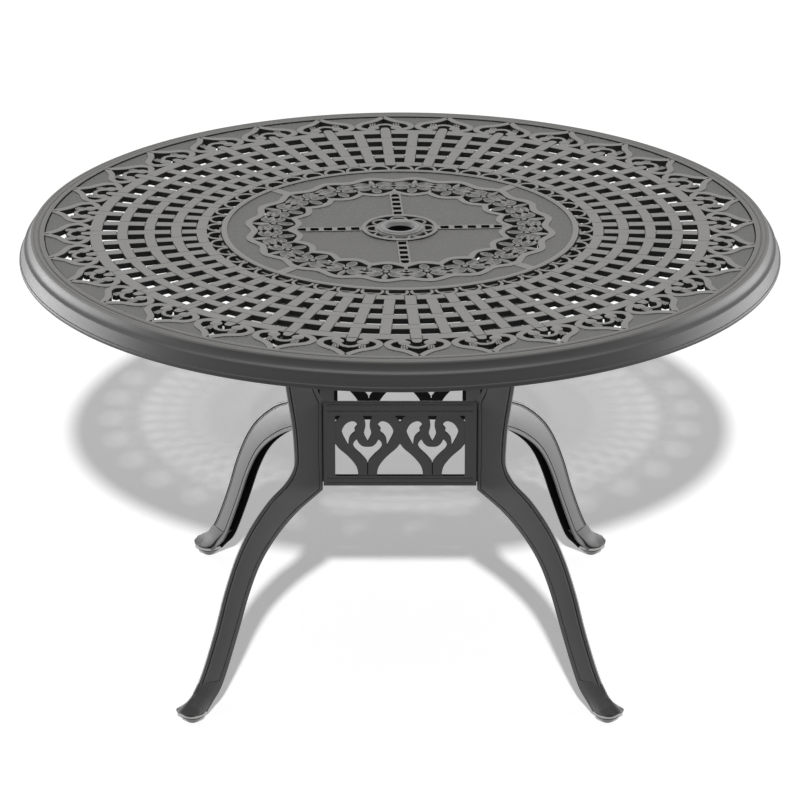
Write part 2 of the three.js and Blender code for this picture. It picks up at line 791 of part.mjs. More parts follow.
// Two bolts up through each leg's flange and into a pad under the middle casting
function addTopBolts() {
  const seat = flangeBottom - fit;
  const shape = fastener(topBolt, padBottom + topBoltReach - seat);
  corners.forEach((corner, i) => {
    [-1, 1].forEach((side) => {
      const name = `top_bolt_${corner}_${side < 0 ? 'a' : 'b'}`;
      const place = shape.clone().translate(flangeMiddle, side * topBoltSpacing / 2, seat);
      addMesh(name, place, 'hardware', legAngles[i]);
    });
  });
}

// Screws up through the rim's ledge and the middle casting's shelf into the quarter castings
function addCastingScrews() {
  const seat = ledgeTop - ledgeThickness - fit;
  const shape = fastener(castingScrew, castingBottom + castingScrewReach - seat);
  seamAngles.forEach((angle, i) => {
    screwPlaces().forEach(({ x, y }, n) => {
      const screw = shape.clone().translate(x, y, seat);
      addMesh(`casting_screw_${quarters[i]}_${n + 1}`, screw, 'hardware', patternTurn + angle);
    });
  });
}

// Round glide with a threaded stem, under the foot
function glide() {
  const top = glideHeight - fit;
  const profile = [
    [0, 0],
    [glideSoleRadius, 0],
    ...glideSkirtShares.map(([radius, height]) => [glideRadius * radius, top * height]),
    [glideStemRadius, top],
    [glideStemRadius, top + glideStemLength],
    [0, top + glideStemLength],
  ].map(([radius, height]) => new THREE.Vector2(radius, height));
  return new THREE.LatheGeometry(profile, glideSides).rotateX(Math.PI / 2).translate(footRadius, 0, 0);
}

function rim() {
  const body = solidFrom(turned(rimProfile(), rimSegments));
  const bottom = ledgeTop - ledgeThickness - overrun;
  const holes = seamAngles.flatMap((angle) => screwPlaces().slice(0, 2).map((place) => (
    screwHole(place, bottom, ledgeTop + overrun).rotateZ(angle + patternTurn)
  )));
  return geometryFrom(cut(body, holes));
}

const sides = ['right', 'rear', 'left', 'front'];
const corners = ['rear_right', 'rear_left', 'front_left', 'front_right'];
const quarters = ['left', 'front', 'right', 'rear'];

addMesh('top_rim', rim(), 'rim');
quarters.forEach((name, i) => {
  addMesh(`lattice_${name}`, latticeQuarter(), 'casting', patternTurn + seamAngles[i]);
});
addMesh('medallion', medallion(), 'casting', patternTurn);
addMesh('umbrella_collar', collar(), 'collar', patternTurn);
corners.forEach((name, i) => {
  addMesh(`leg_${name}`, leg(), 'base', legAngles[i]);
  addMesh(`brace_${name}`, cornerBrace(), 'base', legAngles[i]);
  addMesh(`glide_${name}`, glide(), 'glide', legAngles[i]);
});
sides.forEach((name, i) => {
  addMesh(`apron_${name}`, apron(), 'base', quarterTurns[i]);
});
addCornerBolts();
addTopBolts();
addCastingScrews();

export default table;
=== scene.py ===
"""Round cast-aluminium patio table with an umbrella hole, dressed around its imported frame.

Metres, +Z up, the front towards -Y. Angles of the pattern run from the rear and turn left.
"""

import math

import bmesh
import bpy
from bpy.props import FloatProperty, FloatVectorProperty, IntProperty, PointerProperty
from mathutils import Matrix, Vector
from mathutils.geometry import tessellate_polygon


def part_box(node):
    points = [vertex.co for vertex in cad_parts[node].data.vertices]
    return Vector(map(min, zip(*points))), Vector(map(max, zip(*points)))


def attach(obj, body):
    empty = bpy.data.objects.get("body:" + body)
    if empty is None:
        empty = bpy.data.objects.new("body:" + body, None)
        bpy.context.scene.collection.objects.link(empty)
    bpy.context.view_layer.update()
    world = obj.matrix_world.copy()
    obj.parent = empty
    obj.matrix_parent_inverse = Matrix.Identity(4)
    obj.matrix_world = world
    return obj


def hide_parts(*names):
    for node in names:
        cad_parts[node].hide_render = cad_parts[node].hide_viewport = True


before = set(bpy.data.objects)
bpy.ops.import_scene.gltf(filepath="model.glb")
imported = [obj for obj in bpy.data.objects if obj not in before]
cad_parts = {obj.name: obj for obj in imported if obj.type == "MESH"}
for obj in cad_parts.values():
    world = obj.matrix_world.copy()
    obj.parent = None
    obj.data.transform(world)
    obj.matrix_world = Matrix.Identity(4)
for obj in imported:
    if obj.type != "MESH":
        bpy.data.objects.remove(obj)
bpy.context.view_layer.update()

bl_info = {
    "name": "Umbrella table",
    "version": (1, 0, 0),
    "blender": (4, 5, 0),
    "location": "3D View > Sidebar > Table",
    "description": "Builds a cast patio table with an openwork top and a hole for an umbrella pole",
    "category": "Add Mesh",
}

BODY = "table"
MM = 0.001
CORNERS = ["rear_right", "rear_left", "front_left", "front_right"]
SIDES = ["right", "rear", "left", "front"]
QUARTERS = ["left", "front", "right", "rear"]

rim_low, rim_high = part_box("top_rim")
openwork_low, openwork_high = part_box("lattice_front")
leg_low, leg_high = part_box("leg_rear_right")
apron_low, apron_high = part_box("apron_right")
collar_low, collar_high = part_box("umbrella_collar")
glide_low, glide_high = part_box("glide_rear_right")

# Openwork: radii and sideways places are shares of the field inside the rim
SPOKES = 64
MOTIFS = 32
SPOKE_WIDTH = 0.030
RINGS = [0.5585, 0.630, 0.705, 0.781, 0.8535]
RING_WIDTH = 0.029
LAST_RING_EXTRA = 0.004
BEVEL = 0.7 * MM
WEAVE_DROP = 2.2 * MM
WEAVE_GROOVE = 1.5 * MM
FIELD_DROP = 1.5 * MM
SEAM = 0.3 * MM
RIM_GAP = 1.9 * MM
OVERLAP = 0.004
INNER_EDGE_WIDTH = 4 * MM
LEDGE_WIDTH = 10 * MM
LEDGE_THICKNESS = 4 * MM
# Reach and drop beyond which the rim's skirt gets the darker paint of painted shade.
SKIRT_SHADE_START = 22 * MM
SKIRT_SHADE_DROP = 2 * MM

HEART_PATH = [
    (0.030, 0.879), (0.045, 0.8785), (0.060, 0.8825), (0.072, 0.891), (0.0795, 0.905), (0.0765, 0.922),
    (0.068, 0.935), (0.052, 0.9465), (0.035, 0.957), (0.021, 0.971), (0.009, 0.987), (0.0, 0.998),
]
HEART_WIDTH = 0.019
VEE_PATH = [(0.031, 0.903), (0.024, 0.917), (0.014, 0.9275), (0.0, 0.932)]
VEE_WIDTH = 0.012
BUD = (0.0337, 0.897)
BUD_RADIUS = 0.0165
CALYX_PATHS = [
    [(0.031, 0.908), (0.029, 0.922), (0.0285, 0.940)],
    [(0.0350, 0.909), (0.0355, 0.924), (0.0355, 0.942)],
    [(0.039, 0.908), (0.042, 0.922), (0.0425, 0.938)],
]
CALYX_WIDTH = 0.0055
TAB_PATH = [(0.015, 0.864), (0.0125, 0.885), (0.0105, 0.893), (0.006, 0.8965), (0.0, 0.8975)]

LOOPS = 48
LOOP_PATH = [(0.026, 0.505), (0.028, 0.515), (0.023, 0.530), (0.010, 0.541), (0.0, 0.543)]
LOOP_WIDTH = 0.009

# Middle casting: petals and leaves are [degrees, distance, length, width]
FLOWERS = 20
FLOWER_RADIUS = 0.359
BEAD_RING = (0.487, 0.503)
OUTER_SCALLOP = (0.420, 0.010)
OUTER_SCALLOP_WIDTH = 0.020
INNER_SCALLOP = (0.312, 0.0245)
INNER_SCALLOP_WIDTH = 0.018
FLOWER_PETALS = [(0, 0.034, 0.050, 0.030), (66, 0.033, 0.048, 0.030), (-66, 0.033, 0.048, 0.030),
                 (132, 0.034, 0.048, 0.030), (-132, 0.034, 0.048, 0.030)]
FLOWER_LEAVES = [(99, 0.014, 0.050, 0.015), (-99, 0.014, 0.050, 0.015), (180, 0.012, 0.056, 0.018)]
FLOWER_HEART = 0.0075
SLOT_RADII = [0.126, 0.165, 0.203, 0.241, 0.277]
SLOT_LENGTH = 0.0235
SLOT_WIDTH = 0.0225
ARM_WIDTH = 0.032
ARM_END = 0.300
ARM_BEAD_WIDTH = 0.0036
BAR_WIDTH = 0.030
HUB_RING = (0.096, 0.108)
HUB_LOOPS = 8
HUB_LOOP_PATH = [(0.0225, 0.066), (0.0215, 0.078), (0.0165, 0.0885), (0.008, 0.0935), (0.0, 0.0945)]
HUB_LOOP_WIDTH = 0.008
HUB_SEAT = (0.058, 0.0705, 0.073)
SHELF_REACH = 9 * MM

# Between two flowers: a stem of [radius, length, width], and pairs of leaves of
# [radius, slope, length, width, ridge above the face, edge below the face]
TIE_STEM = (0.302, 0.040, 0.011)
TIE_LEAVES = [
    (0.372, 0.25, 0.034, 0.017, 0.2 * MM, 1.2 * MM), (0.352, -0.12, 0.026, 0.013, 0.1 * MM, 1.4 * MM),
    (0.391, 0.10, 0.036, 0.018, 0.1 * MM, 1.4 * MM),
]

# Leg: pairs of [outer radius, outer height, inner radius, inner height], as in the solid
ARM_SHARES = [
    (1, 1, 1.09, 1), (0.835, 0.725, 0.974, 0.725), (0.624, 0.427, 0.739, 0.390), (0.388, 0.147, 0.362, 0.138),
]
SHOULDER_SHARES = (0.106, 0.82, 0, 1)
POST_SHARES = [(0, 0.559, 0, 0.559), (0.01, 0.349, 0, 0.197)]
SHIN_SHARES = [
    (0.071, 1.089, 0, 1), (0.225, 1.022, 0.227, 0.930), (0.389, 0.911, 0.406, 0.838),
    (0.505, 0.787, 0.537, 0.733), (0.604, 0.625, 0.636, 0.597), (0.683, 0.454, 0.729, 0.419),
    (0.774, 0.286, 0.828, 0.238), (0.836, 0.193, 0.893, 0.140), (0.881, 0.146, 0.960, 0.084),
    (0.905, 0.127, 1.014, 0.040),
]
FOOT_SHARES = [
    (0.840, 0.189, 0.889, 0.144), (0.881, 0.146, 0.958, 0.086), (0.889, 0.138, 1.002, 0.042),
    (0.913, 0.122, 1.052, 0.020), (0.941, 0.108, 1.103, 0.016), (0.972, 0.092, 1.152, 0.016),
    (0.991, 0.083, 1.178, 0.020), (1, 0.078, 1.188, 0.028),
]
FOOT_WIDTHS = [0.90, 0.98, 1.22, 1.47, 1.56, 1.38, 0.92, 0.40]
FOOT_NOSES = [0.85, 0.92, 0.96, 1.0, 1.1, 1.4, 1.5, 0.8]
FOOT_PAD = (18.2 * MM, 20.6 * MM)
FOOT_LIP = 17.4 * MM
FOOT_FULL_DEPTH = 10 * MM
POST_INSET = 17.63 * MM
POST_DEPTH = 50 * MM
BOSS_LENGTH = 21 * MM
LEG_OPENING = 26 * MM
LEG_WALL = 2.5 * MM
NOSE_WIDTH = 7 * MM
KNEE_DROP = 8 * MM
SHOULDER_RISE = 2 * MM
GLIDE_HEIGHT = 12 * MM
PAD_THICKNESS = 8 * MM
FLANGE_THICKNESS = 6 * MM
FLANGE_HALF = (24 * MM, 33 * MM)
FLANGE_INSET = 32.6 * MM
BRACE_REACH = 11.3 * MM
BRACE_THICKNESS = 5 * MM
BRACE_INSET = 16 * MM
BOLT_INSET = 34 * MM

# Half a heart scroll of the apron, as shares of a quarter of its opening
APRON_FOOT = [
    (0.353, 0), (0.350, 0.060), (0.328, 0.145), (0.272, 0.235),
    (0.178, 0.340), (0.063, 0.442), (0, 0.525), (0, 0),
]
APRON_LOBE = [
    (0.200, 0.498), (0.214, 0.608), (0.250, 0.671), (0.307, 0.722), (0.297, 0.775), (0.345, 0.835),
    (0.315, 0.880), (0.255, 0.896), (0.170, 0.855), (0.112, 0.765), (0.112, 0.680),
]
APRON_MOON = [
    (0.500, 0.225), (0.500, 0.474), (0.422, 0.485), (0.365, 0.535), (0.333, 0.596), (0.295, 0.560),
    (0.278, 0.498), (0.310, 0.432), (0.400, 0.345),
]
APRON_SLOT = [
    (0.500, 0.561), (0.500, 0.985), (0.425, 0.985), (0.458, 0.893), (0.468, 0.814), (0.445, 0.711),
    (0.458, 0.645),
]
APRON_CORNER = [(0, 0.990), (0, 0.868), (0.035, 0.922), (0.088, 0.990)]
APRON_HALF = 241.4 * MM / 2
APRON_STEM_SLIT = 1.4 * MM
APRON_STILE = 18.6 * MM
APRON_RAIL = 22 * MM
APRON_SILL = 17 * MM
APRON_THICKNESS = 8 * MM

# Finish numbers of faces on the castings of the top, and on the legs after their base paint
# The ground number's darker paint is partly painted shade and the wall number's near-black paint is painted
# shade; on the legs the hollow and groove numbers give painted shade and the edge number a painted highlight.
STRIP, GROUND, WALL = range(3)
HOLLOW, GROOVE, HIGHLIGHT_EDGE, METAL, FOOT = range(1, 6)

# Strips of half a leg's outline, counted from its nose
# The groove strips get the near-black wall paint as painted shade, and the edge strips a lighter paint as
# painted highlight.
GROOVE_STRIPS = [4, 5, 11, 12]
HIGHLIGHT_EDGE_STRIPS = [2, 6, 7, 13]


class TableSizes(bpy.types.PropertyGroup):
    """Sizes of the dressed table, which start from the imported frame"""

    face_height: FloatProperty(
        name="Face height", description="Floor to the upper face of the openwork",
        default=openwork_high.z, unit="LENGTH")
    casting_depth: FloatProperty(
        name="Casting depth", description="Thickness of the openwork and the middle casting",
        default=openwork_high.z - openwork_low.z, unit="LENGTH")
    table_radius: FloatProperty(
        name="Table radius", description="Outside of the rolled rim",
        default=rim_high.x, unit="LENGTH")
    rim_width: FloatProperty(
        name="Rim width", description="Rolled rim, measured inwards from the outside",
        default=0.040, unit="LENGTH")
    pattern_turn: FloatProperty(
        name="Pattern turn", description="How far the openwork sits askew on its base",
        default=math.radians(2.9), unit="ROTATION")
    toe_radius: FloatProperty(
        name="Toe radius", description="Middle of the table to the tip of a toe",
        default=0.487, unit="LENGTH")
    apron_distance: FloatProperty(
        name="Apron distance", description="Middle of the table to an apron's outer face",
        default=apron_high.x, unit="LENGTH")
    pole_radius: FloatProperty(
        name="Pole hole radius", description="Throat of the collar for the umbrella pole",
        default=0.020, unit="LENGTH")
    bolt_sides: IntProperty(
        name="Bolt sides", description="Flats on the head of a bolt", default=6, min=4, max=12)


class TableFinishes(bpy.types.PropertyGroup):
    """Colours and sheen of the paint, with the dark colours that paint shade on walls and hollows"""

    top_paint: FloatVectorProperty(
        name="Top paint", description="Powder coat on the openwork and the middle casting",
        default=(0.160, 0.157, 0.151), size=3, subtype="COLOR", min=0, max=1)
    # The grained ground is darker than the top paint: partly its own grain, and partly painted shade of the
    # sunk ground.
    hollow_shade_paint: FloatVectorProperty(
        name="Grained ground with painted shade", description="Sand-cast ground between the raised strips",
        default=(0.092, 0.091, 0.088), size=3, subtype="COLOR", min=0, max=1)
    # Near-black colour for upright walls of openings, grooves and slits: painted shade, since the walls are
    # the same powder coat as the faces.
    wall_shade_paint: FloatVectorProperty(
        name="Painted shade on walls", description="Near-black painted shade on the walls of openings",
        default=(0.022, 0.022, 0.022), size=3, subtype="COLOR", min=0, max=1)
    rim_paint: FloatVectorProperty(
        name="Rim paint", description="Smoother powder coat on the rolled rim",
        default=(0.155, 0.153, 0.149), size=3, subtype="COLOR", min=0, max=1)
    base_paint: FloatVectorProperty(
        name="Base paint", description="Powder coat on the legs and aprons",
        default=(0.069, 0.069, 0.070), size=3, subtype="COLOR", min=0, max=1)
    paint_roughness: FloatProperty(
        name="Paint roughness", description="Sheen of the powder coat", default=0.42, min=0, max=1)


def sizes():
    return bpy.context.scene.table_sizes


def finishes():
    return bpy.context.scene.table_finishes


def field_radius():
    return sizes().table_radius - sizes().rim_width


def face():
    return sizes().face_height


def underside():
    return sizes().face_height - sizes().casting_depth


def place(sideways, radius, turn=0.0):
    """A point of the pattern from its shares of the field, turned to the left of the rear."""
    return Matrix.Rotation(turn, 2) @ (Vector((-sideways, radius)) * field_radius())


def mirrored(path):
    """A path up to the middle line, and back on the other side of it."""
    return path + [(-x, y) for x, y in reversed(path) if x != 0]


def arc(radius, angles):
    """Points round the middle at angles that run from the rear to the left."""
    return [Vector((-math.sin(a), math.cos(a))) * radius for a in angles]


def smooth_path(points, steps, closed=False, corner=math.radians(50)):
    """Rounds a run of points with short spline steps, but keeps its sharp corners."""
    points = [Vector(p) for p in points]
    count = len(points)

    def heading(i):
        if not closed and i in (0, count - 1):
            return None
        before = points[i] - points[i - 1]
        after = points[(i + 1) % count] - points[i]
        if before.length * after.length == 0 or before.angle(after) > corner:
            return None
        return (points[(i + 1) % count] - points[i - 1]) / 2

    path = []
    for i in range(count if closed else count - 1):
        start = points[i]
        end = points[(i + 1) % count]
        leave = heading(i) or end - start
        arrive = heading((i + 1) % count) or end - start
        for step in range(steps):
            t = step / steps
            path.append(
                start * (2 * t ** 3 - 3 * t ** 2 + 1) + leave * (t ** 3 - 2 * t ** 2 + t)
                + end * (3 * t ** 2 - 2 * t ** 3) + arrive * (t ** 3 - t ** 2))
    return path if closed else path + [points[-1]]


class Casting:
    """Closed shells gathered for one mesh, each face with the number of its finish."""

    def __init__(self):
        self.points = []
        self.faces = []
        self.marks = []

    def add(self, points, faces, mark=0):
        start = len(self.points)
        self.points.extend(Vector(p) for p in points)
        self.faces.extend([start + i for i in face_points] for face_points in faces)
        self.marks.extend([mark] * len(faces))

    def sweep(self, loops, closed=False, mark=0):
        """Skins a run of closed loops that all have the same number of points."""
        count = len(loops[0])
        rows = len(loops)
        faces = []
        for row in range(rows if closed else rows - 1):
            after = (row + 1) % rows
            for i in range(count):
                j = (i + 1) % count
                faces.append((row * count + i, row * count + j, after * count + j, after * count + i))
        if not closed:
            faces.append(tuple(reversed(range(count))))
            faces.append(tuple((rows - 1) * count + i for i in range(count)))
        self.add([p for loop in loops for p in loop], faces, mark)

    def strip(self, path, width, tops, bottom, bevel=BEVEL, closed=False, end=None):
        """A flat strip with chamfered edges along a path in plan; tops is one height or one per point."""
        path = [Vector(p) for p in path]
        count = len(path)
        tops = tops if isinstance(tops, list) else [tops] * count
        narrow = 1 - bevel * 2 / width
        loops = []
        for i, (point, top) in enumerate(zip(path, tops)):
            before = (point - path[i - 1]).normalized() if closed or i else None
            after = (path[(i + 1) % count] - point).normalized() if closed or i < count - 1 else None
            heading = ((before or after) + (after or before)).normalized()
            if end and i == count - 1:
                heading = end
            spread = max(0.5, heading.dot(after or before))
            side = Vector((-heading.y, heading.x)) * (width / 2 / spread)
            edge = top - bevel
            section = [(1, bottom), (-1, bottom), (-1, edge), (-narrow, top), (narrow, top), (1, edge)]
            loops.append([(*(point + side * share), height) for share, height in section])
        self.sweep(loops, closed)

    def leaf(self, foot, heading, length, width, ridge, edge, bottom, fullest=0.55):
        """A pointed leaf with a ridge along its middle."""
        heading = Vector(heading).normalized()
        side = Vector((-heading.y, heading.x))
        power = math.log(0.5) / math.log(fullest)
        rows = 8
        loops = []
        for row in range(rows + 1):
            swell = math.sin(math.pi * (0.03 + 0.94 * row / rows) ** power)
            half = side * width / 2 * swell ** 0.9
            middle = foot + heading * length * (row / rows)
            lift = edge + (ridge - edge) * swell ** 0.5
            section = [(1, bottom), (-1, bottom), (-1, edge - BEVEL), (-0.9, edge), (0, lift), (0.9, edge),
                       (1, edge - BEVEL)]
            loops.append([(*(middle + half * share), height) for share, height in section])
        self.sweep(loops)

    def petal(self, centre, heading, length, width, top, bottom):
        """An oval petal with a raised edge round a sunk middle."""
        centre = Vector(centre)
        heading = Vector(heading).normalized()
        side = Vector((-heading.y, heading.x))
        sides = 18
        angles = [2 * math.pi * i / sides for i in range(sides)]
        rows = [(1, bottom), (1, top - 1.8 * MM), (0.92, top - 0.5 * MM), (0.78, top), (0.60, top - 0.5 * MM),
                (0.35, top - 1.7 * MM), (0.08, top - 1.2 * MM)]
        loops = []
        for share, height in rows:
            along = heading * length / 2 * share
            across = side * width / 2 * share
            loops.append([(*(centre + along * math.cos(a) + across * math.sin(a)), height) for a in angles])
        start = len(self.faces)
        self.sweep(loops)
        # The petal's outer flank gets the near-black wall paint and its sunk middle the darker ground paint:
        # painted shade that parts the petals.
        for row, number in ((1, WALL), (3, GROUND), (4, GROUND), (5, GROUND)):
            for i in range(sides):
                self.marks[start + row * sides + i] = number

    def dome(self, centre, radius, rise, top, bottom, sides=20):
        """A low round button."""
        rows = [(radius, bottom), (radius, top - rise)]
        rows += [(radius * math.cos(a), top - rise + rise * math.sin(a)) for a in (0.35, 0.7, 1.05, 1.35)]
        angles = [2 * math.pi * i / sides for i in range(sides)]
        self.sweep([
            [(centre.x + r * math.cos(a), centre.y + r * math.sin(a), z) for a in angles] for r, z in rows])

    def plate(self, outline, holes, top, bottom, mark=0):
        """A flat plate in plan with holes right through it."""
        rings = [[Vector(p) for p in ring] for ring in [outline, *holes]]
        flat = [[Vector((p.x, p.y, 0)) for p in ring] for ring in rings]
        triangles = tessellate_polygon(flat)
        plan = [p for ring in rings for p in ring]
        count = len(plan)
        faces = [tuple(t) for t in triangles]
        faces += [tuple(count + i for i in reversed(t)) for t in triangles]
        start = 0
        for ring in rings:
            for i in range(len(ring)):
                a = start + i
                b = start + (i + 1) % len(ring)
                faces.append((a, b, count + b, count + a))
            start += len(ring)
        self.add([(p.x, p.y, top) for p in plan] + [(p.x, p.y, bottom) for p in plan], faces, mark)

    def turned(self, profile, segments, centre=(0, 0), mark=0):
        """A closed profile of (radius, height) turned round an upright axis."""
        angles = [2 * math.pi * i / segments for i in range(segments)]
        self.sweep([
            [(centre[0] + r * math.cos(a), centre[1] + r * math.sin(a), z) for r, z in profile]
            for a in angles], closed=True, mark=mark)

    def block(self, low, high, bevel=BEVEL):
        """A box with chamfered upright edges and rims."""
        outline = [
            (low[0] + bevel, low[1]), (high[0] - bevel, low[1]), (high[0], low[1] + bevel),
            (high[0], high[1] - bevel), (high[0] - bevel, high[1]), (low[0] + bevel, high[1]),
            (low[0], high[1] - bevel), (low[0], low[1] + bevel)]
        centre = (Vector(low[:2]) + Vector(high[:2])) / 2
        size = Vector(high[:2]) - Vector(low[:2])
        shrink = Vector((1 - 2 * bevel / size.x, 1 - 2 * bevel / size.y))
        small = [(centre.x + (x - centre.x) * shrink.x, centre.y + (y - centre.y) * shrink.y)
                 for x, y in outline]
        levels = [(small, low[2]), (outline, low[2] + bevel), (outline, high[2] - bevel), (small, high[2])]
        self.sweep([[(x, y, z) for x, y in ring] for ring, z in levels])

    def mesh(self, name):
        mesh = bpy.data.meshes.new(name)
        mesh.from_pydata(self.points, [], self.faces)
        mesh.polygons.foreach_set("material_index", self.marks)
        shape = bmesh.new()
        shape.from_mesh(mesh)
        bmesh.ops.remove_doubles(shape, verts=shape.verts, dist=1e-7)
        bmesh.ops.dissolve_degenerate(shape, dist=1e-7, edges=shape.edges)
        bmesh.ops.recalc_face_normals(shape, faces=shape.faces)
        shape.to_mesh(mesh)
        shape.free()
        return mesh


def cast(name, build, *values):
    """The mesh of what one function, or one of the shapes above, builds in a casting."""
    casting = Casting()
    build(casting, *values)
    return casting.mesh(name)


def feed(tree, node, values):
    """Fills inputs of a node: a socket is linked to it, and anything else becomes its value."""
    for label, value in values.items():
        if isinstance(value, bpy.types.NodeSocket):
            tree.links.new(value, node.inputs[label])
        else:
            node.inputs[label].default_value = value
    return node


def add_node(tree, kind, values=None, **settings):
    node = tree.nodes.new(kind)
    for key, value in settings.items():
        setattr(node, key, value)
    return feed(tree, node, values or {})


def math_node(tree, operation, *values):
    """The result of a Math node on numbers and sockets."""
    return add_node(tree, "ShaderNodeMath", dict(enumerate(values)), operation=operation).outputs[0]


def moved(mesh, matrix):
    copy = mesh.copy()
    copy.transform(matrix)
    return copy


def joined(meshes):
    """One mesh from several, which keeps the finish of every face."""
    shape = bmesh.new()
    for mesh in meshes:
        shape.from_mesh(mesh)
    whole = bpy.data.meshes.new("joined")
    shape.to_mesh(whole)
    shape.free()
    return whole


def finished(name, mesh, materials, node_names, slot, body=BODY, sharp=math.radians(35)):
    """Links a mesh as a finished piece that stands for some nodes of the frame."""
    mesh.name = name
    for i, material in enumerate(materials):
        if i < len(mesh.materials):
            mesh.materials[i] = material
        else:
            mesh.materials.append(material)
    mesh.polygons.foreach_set("use_smooth", [True] * len(mesh.polygons))
    mesh.set_sharp_from_angle(angle=sharp)
    piece = bpy.data.objects.new(name, mesh)
    bpy.context.scene.collection.objects.link(piece)
    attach(piece, body)
    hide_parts(*node_names)
    return piece


def finished_four(piece, node, names, mesh, materials, slot, shift=0.5, turn=0.0, **options):
    """Finishes four copies of a mesh round the middle, the first one shifted by part of a quarter turn."""
    for i, name in enumerate(names):
        rotation = Matrix.Rotation(turn + (i + shift) * math.pi / 2, 4, "Z")
        finished(f"{piece}_{name}", moved(mesh, rotation), materials, [f"{node}_{name}"], slot, **options)


def ring_tree():
    """Geometry nodes that repeat a shape round the middle of the table."""
    name = "Repeat round the middle"
    if name in bpy.data.node_groups:
        return bpy.data.node_groups[name]
    tree = bpy.data.node_groups.new(name, "GeometryNodeTree")
    add_socket = tree.interface.new_socket
    add_socket("Geometry", in_out="INPUT", socket_type="NodeSocketGeometry")
    add_socket("Geometry", in_out="OUTPUT", socket_type="NodeSocketGeometry")
    add_socket("Count", in_out="INPUT", socket_type="NodeSocketInt").default_value = 4
    for label in ("Start", "Step"):
        add_socket(label, in_out="INPUT", socket_type="NodeSocketFloat").subtype = "ANGLE"
    add_socket("Finish", in_out="INPUT", socket_type="NodeSocketMaterial")
    given = add_node(tree, "NodeGroupInput").outputs
    points = add_node(tree, "GeometryNodeMeshLine", {"Offset": (0, 0, 0), "Count": given["Count"]})
    index = add_node(tree, "GeometryNodeInputIndex")
    angle = math_node(tree, "MULTIPLY_ADD", index.outputs[0], given["Step"], given["Start"])
    turn = add_node(tree, "ShaderNodeCombineXYZ", {"Z": angle})
    copies = add_node(tree, "GeometryNodeInstanceOnPoints", {
        "Points": points.outputs["Mesh"], "Instance": given["Geometry"], "Rotation": turn.outputs[0]})
    real = add_node(tree, "GeometryNodeRealizeInstances", {"Geometry": copies.outputs["Instances"]})
    paint = add_node(tree, "GeometryNodeSetMaterial", {
        "Geometry": real.outputs["Geometry"], "Material": given["Finish"]})
    add_node(tree, "NodeGroupOutput", {"Geometry": paint.outputs["Geometry"]})
    return tree


def evaluated(carrier):
    """The mesh of an object with its modifiers applied; the object goes."""
    graph = bpy.context.evaluated_depsgraph_get()
    result = bpy.data.meshes.new_from_object(carrier.evaluated_get(graph))
    bpy.data.objects.remove(carrier)
    return result


def around(mesh, count, step, start, material):
    """A plain mesh of a shape repeated round the middle by the tree."""
    carrier = bpy.data.objects.new("repeated", mesh)
    bpy.context.scene.collection.objects.link(carrier)
    modifier = carrier.modifiers.new("Repeat", "NODES")
    modifier.node_group = ring_tree()
    values = {"Count": count, "Start": start, "Step": step, "Finish": material}
    for item in modifier.node_group.interface.items_tree:
        if item.in_out == "INPUT" and item.name in values:
            modifier[item.identifier] = values[item.name]
    return evaluated(carrier)


def marked(mesh, mark):
    """Gives every face of a mesh one finish number."""
    mesh.polygons.foreach_set("material_index", [mark] * len(mesh.polygons))
    return mesh


def marks_repeated(repeated, mesh, count):
    """Gives every copy the finish numbers of the shape it repeats."""
    numbers = [polygon.material_index for polygon in mesh.polygons] * count
    repeated.polygons.foreach_set("material_index", numbers)
    return repeated


def walls_marked(mesh, mark, reach=math.inf):
    """Gives upright faces one finish number, within some reach of the middle: here the near-black colour of
    painted shade on walls.
    """
    for polygon in mesh.polygons:
        if abs(polygon.normal.z) < 0.3 and polygon.center.xy.length < reach:
            polygon.material_index = mark
    return mesh


# Finishes

def cast_skin_group():
    """Uneven powder coat over a sand-cast skin: a tone, a roughness and a height."""
    name = "Cast skin"
    if name in bpy.data.node_groups:
        return bpy.data.node_groups[name]
    group = bpy.data.node_groups.new(name, "ShaderNodeTree")
    add_socket = group.interface.new_socket
    add_socket("Colour", in_out="INPUT", socket_type="NodeSocketColor")
    add_socket("Colour", in_out="OUTPUT", socket_type="NodeSocketColor")
    for label, value in (("Grain size", 400), ("Cloud size", 9), ("Unevenness", 0.12), ("Roughness", 0.45)):
        add_socket(label, in_out="INPUT", socket_type="NodeSocketFloat").default_value = value
    for label in ("Roughness", "Height"):
        add_socket(label, in_out="OUTPUT", socket_type="NodeSocketFloat")
    given = add_node(group, "NodeGroupInput").outputs
    where = add_node(group, "ShaderNodeTexCoord").outputs["Object"]
    grain, cloud = [
        add_node(group, "ShaderNodeTexNoise", {
            "Vector": where, "Scale": given[label], "Detail": detail}).outputs[0]
        for label, detail in (("Grain size", 2), ("Cloud size", 4))]
    swing = math_node(group, "SUBTRACT", math_node(group, "MULTIPLY_ADD", cloud, 0.25, grain), 0.625)
    tone = math_node(group, "ADD", math_node(group, "MULTIPLY", swing, given["Unevenness"]), 1)
    shade = add_node(group, "ShaderNodeVectorMath", {0: given["Colour"], "Scale": tone}, operation="SCALE")
    sheen = math_node(group, "MULTIPLY", given["Roughness"], tone)
    add_node(group, "NodeGroupOutput", {"Colour": shade.outputs[0], "Roughness": sheen, "Height": grain})
    return group


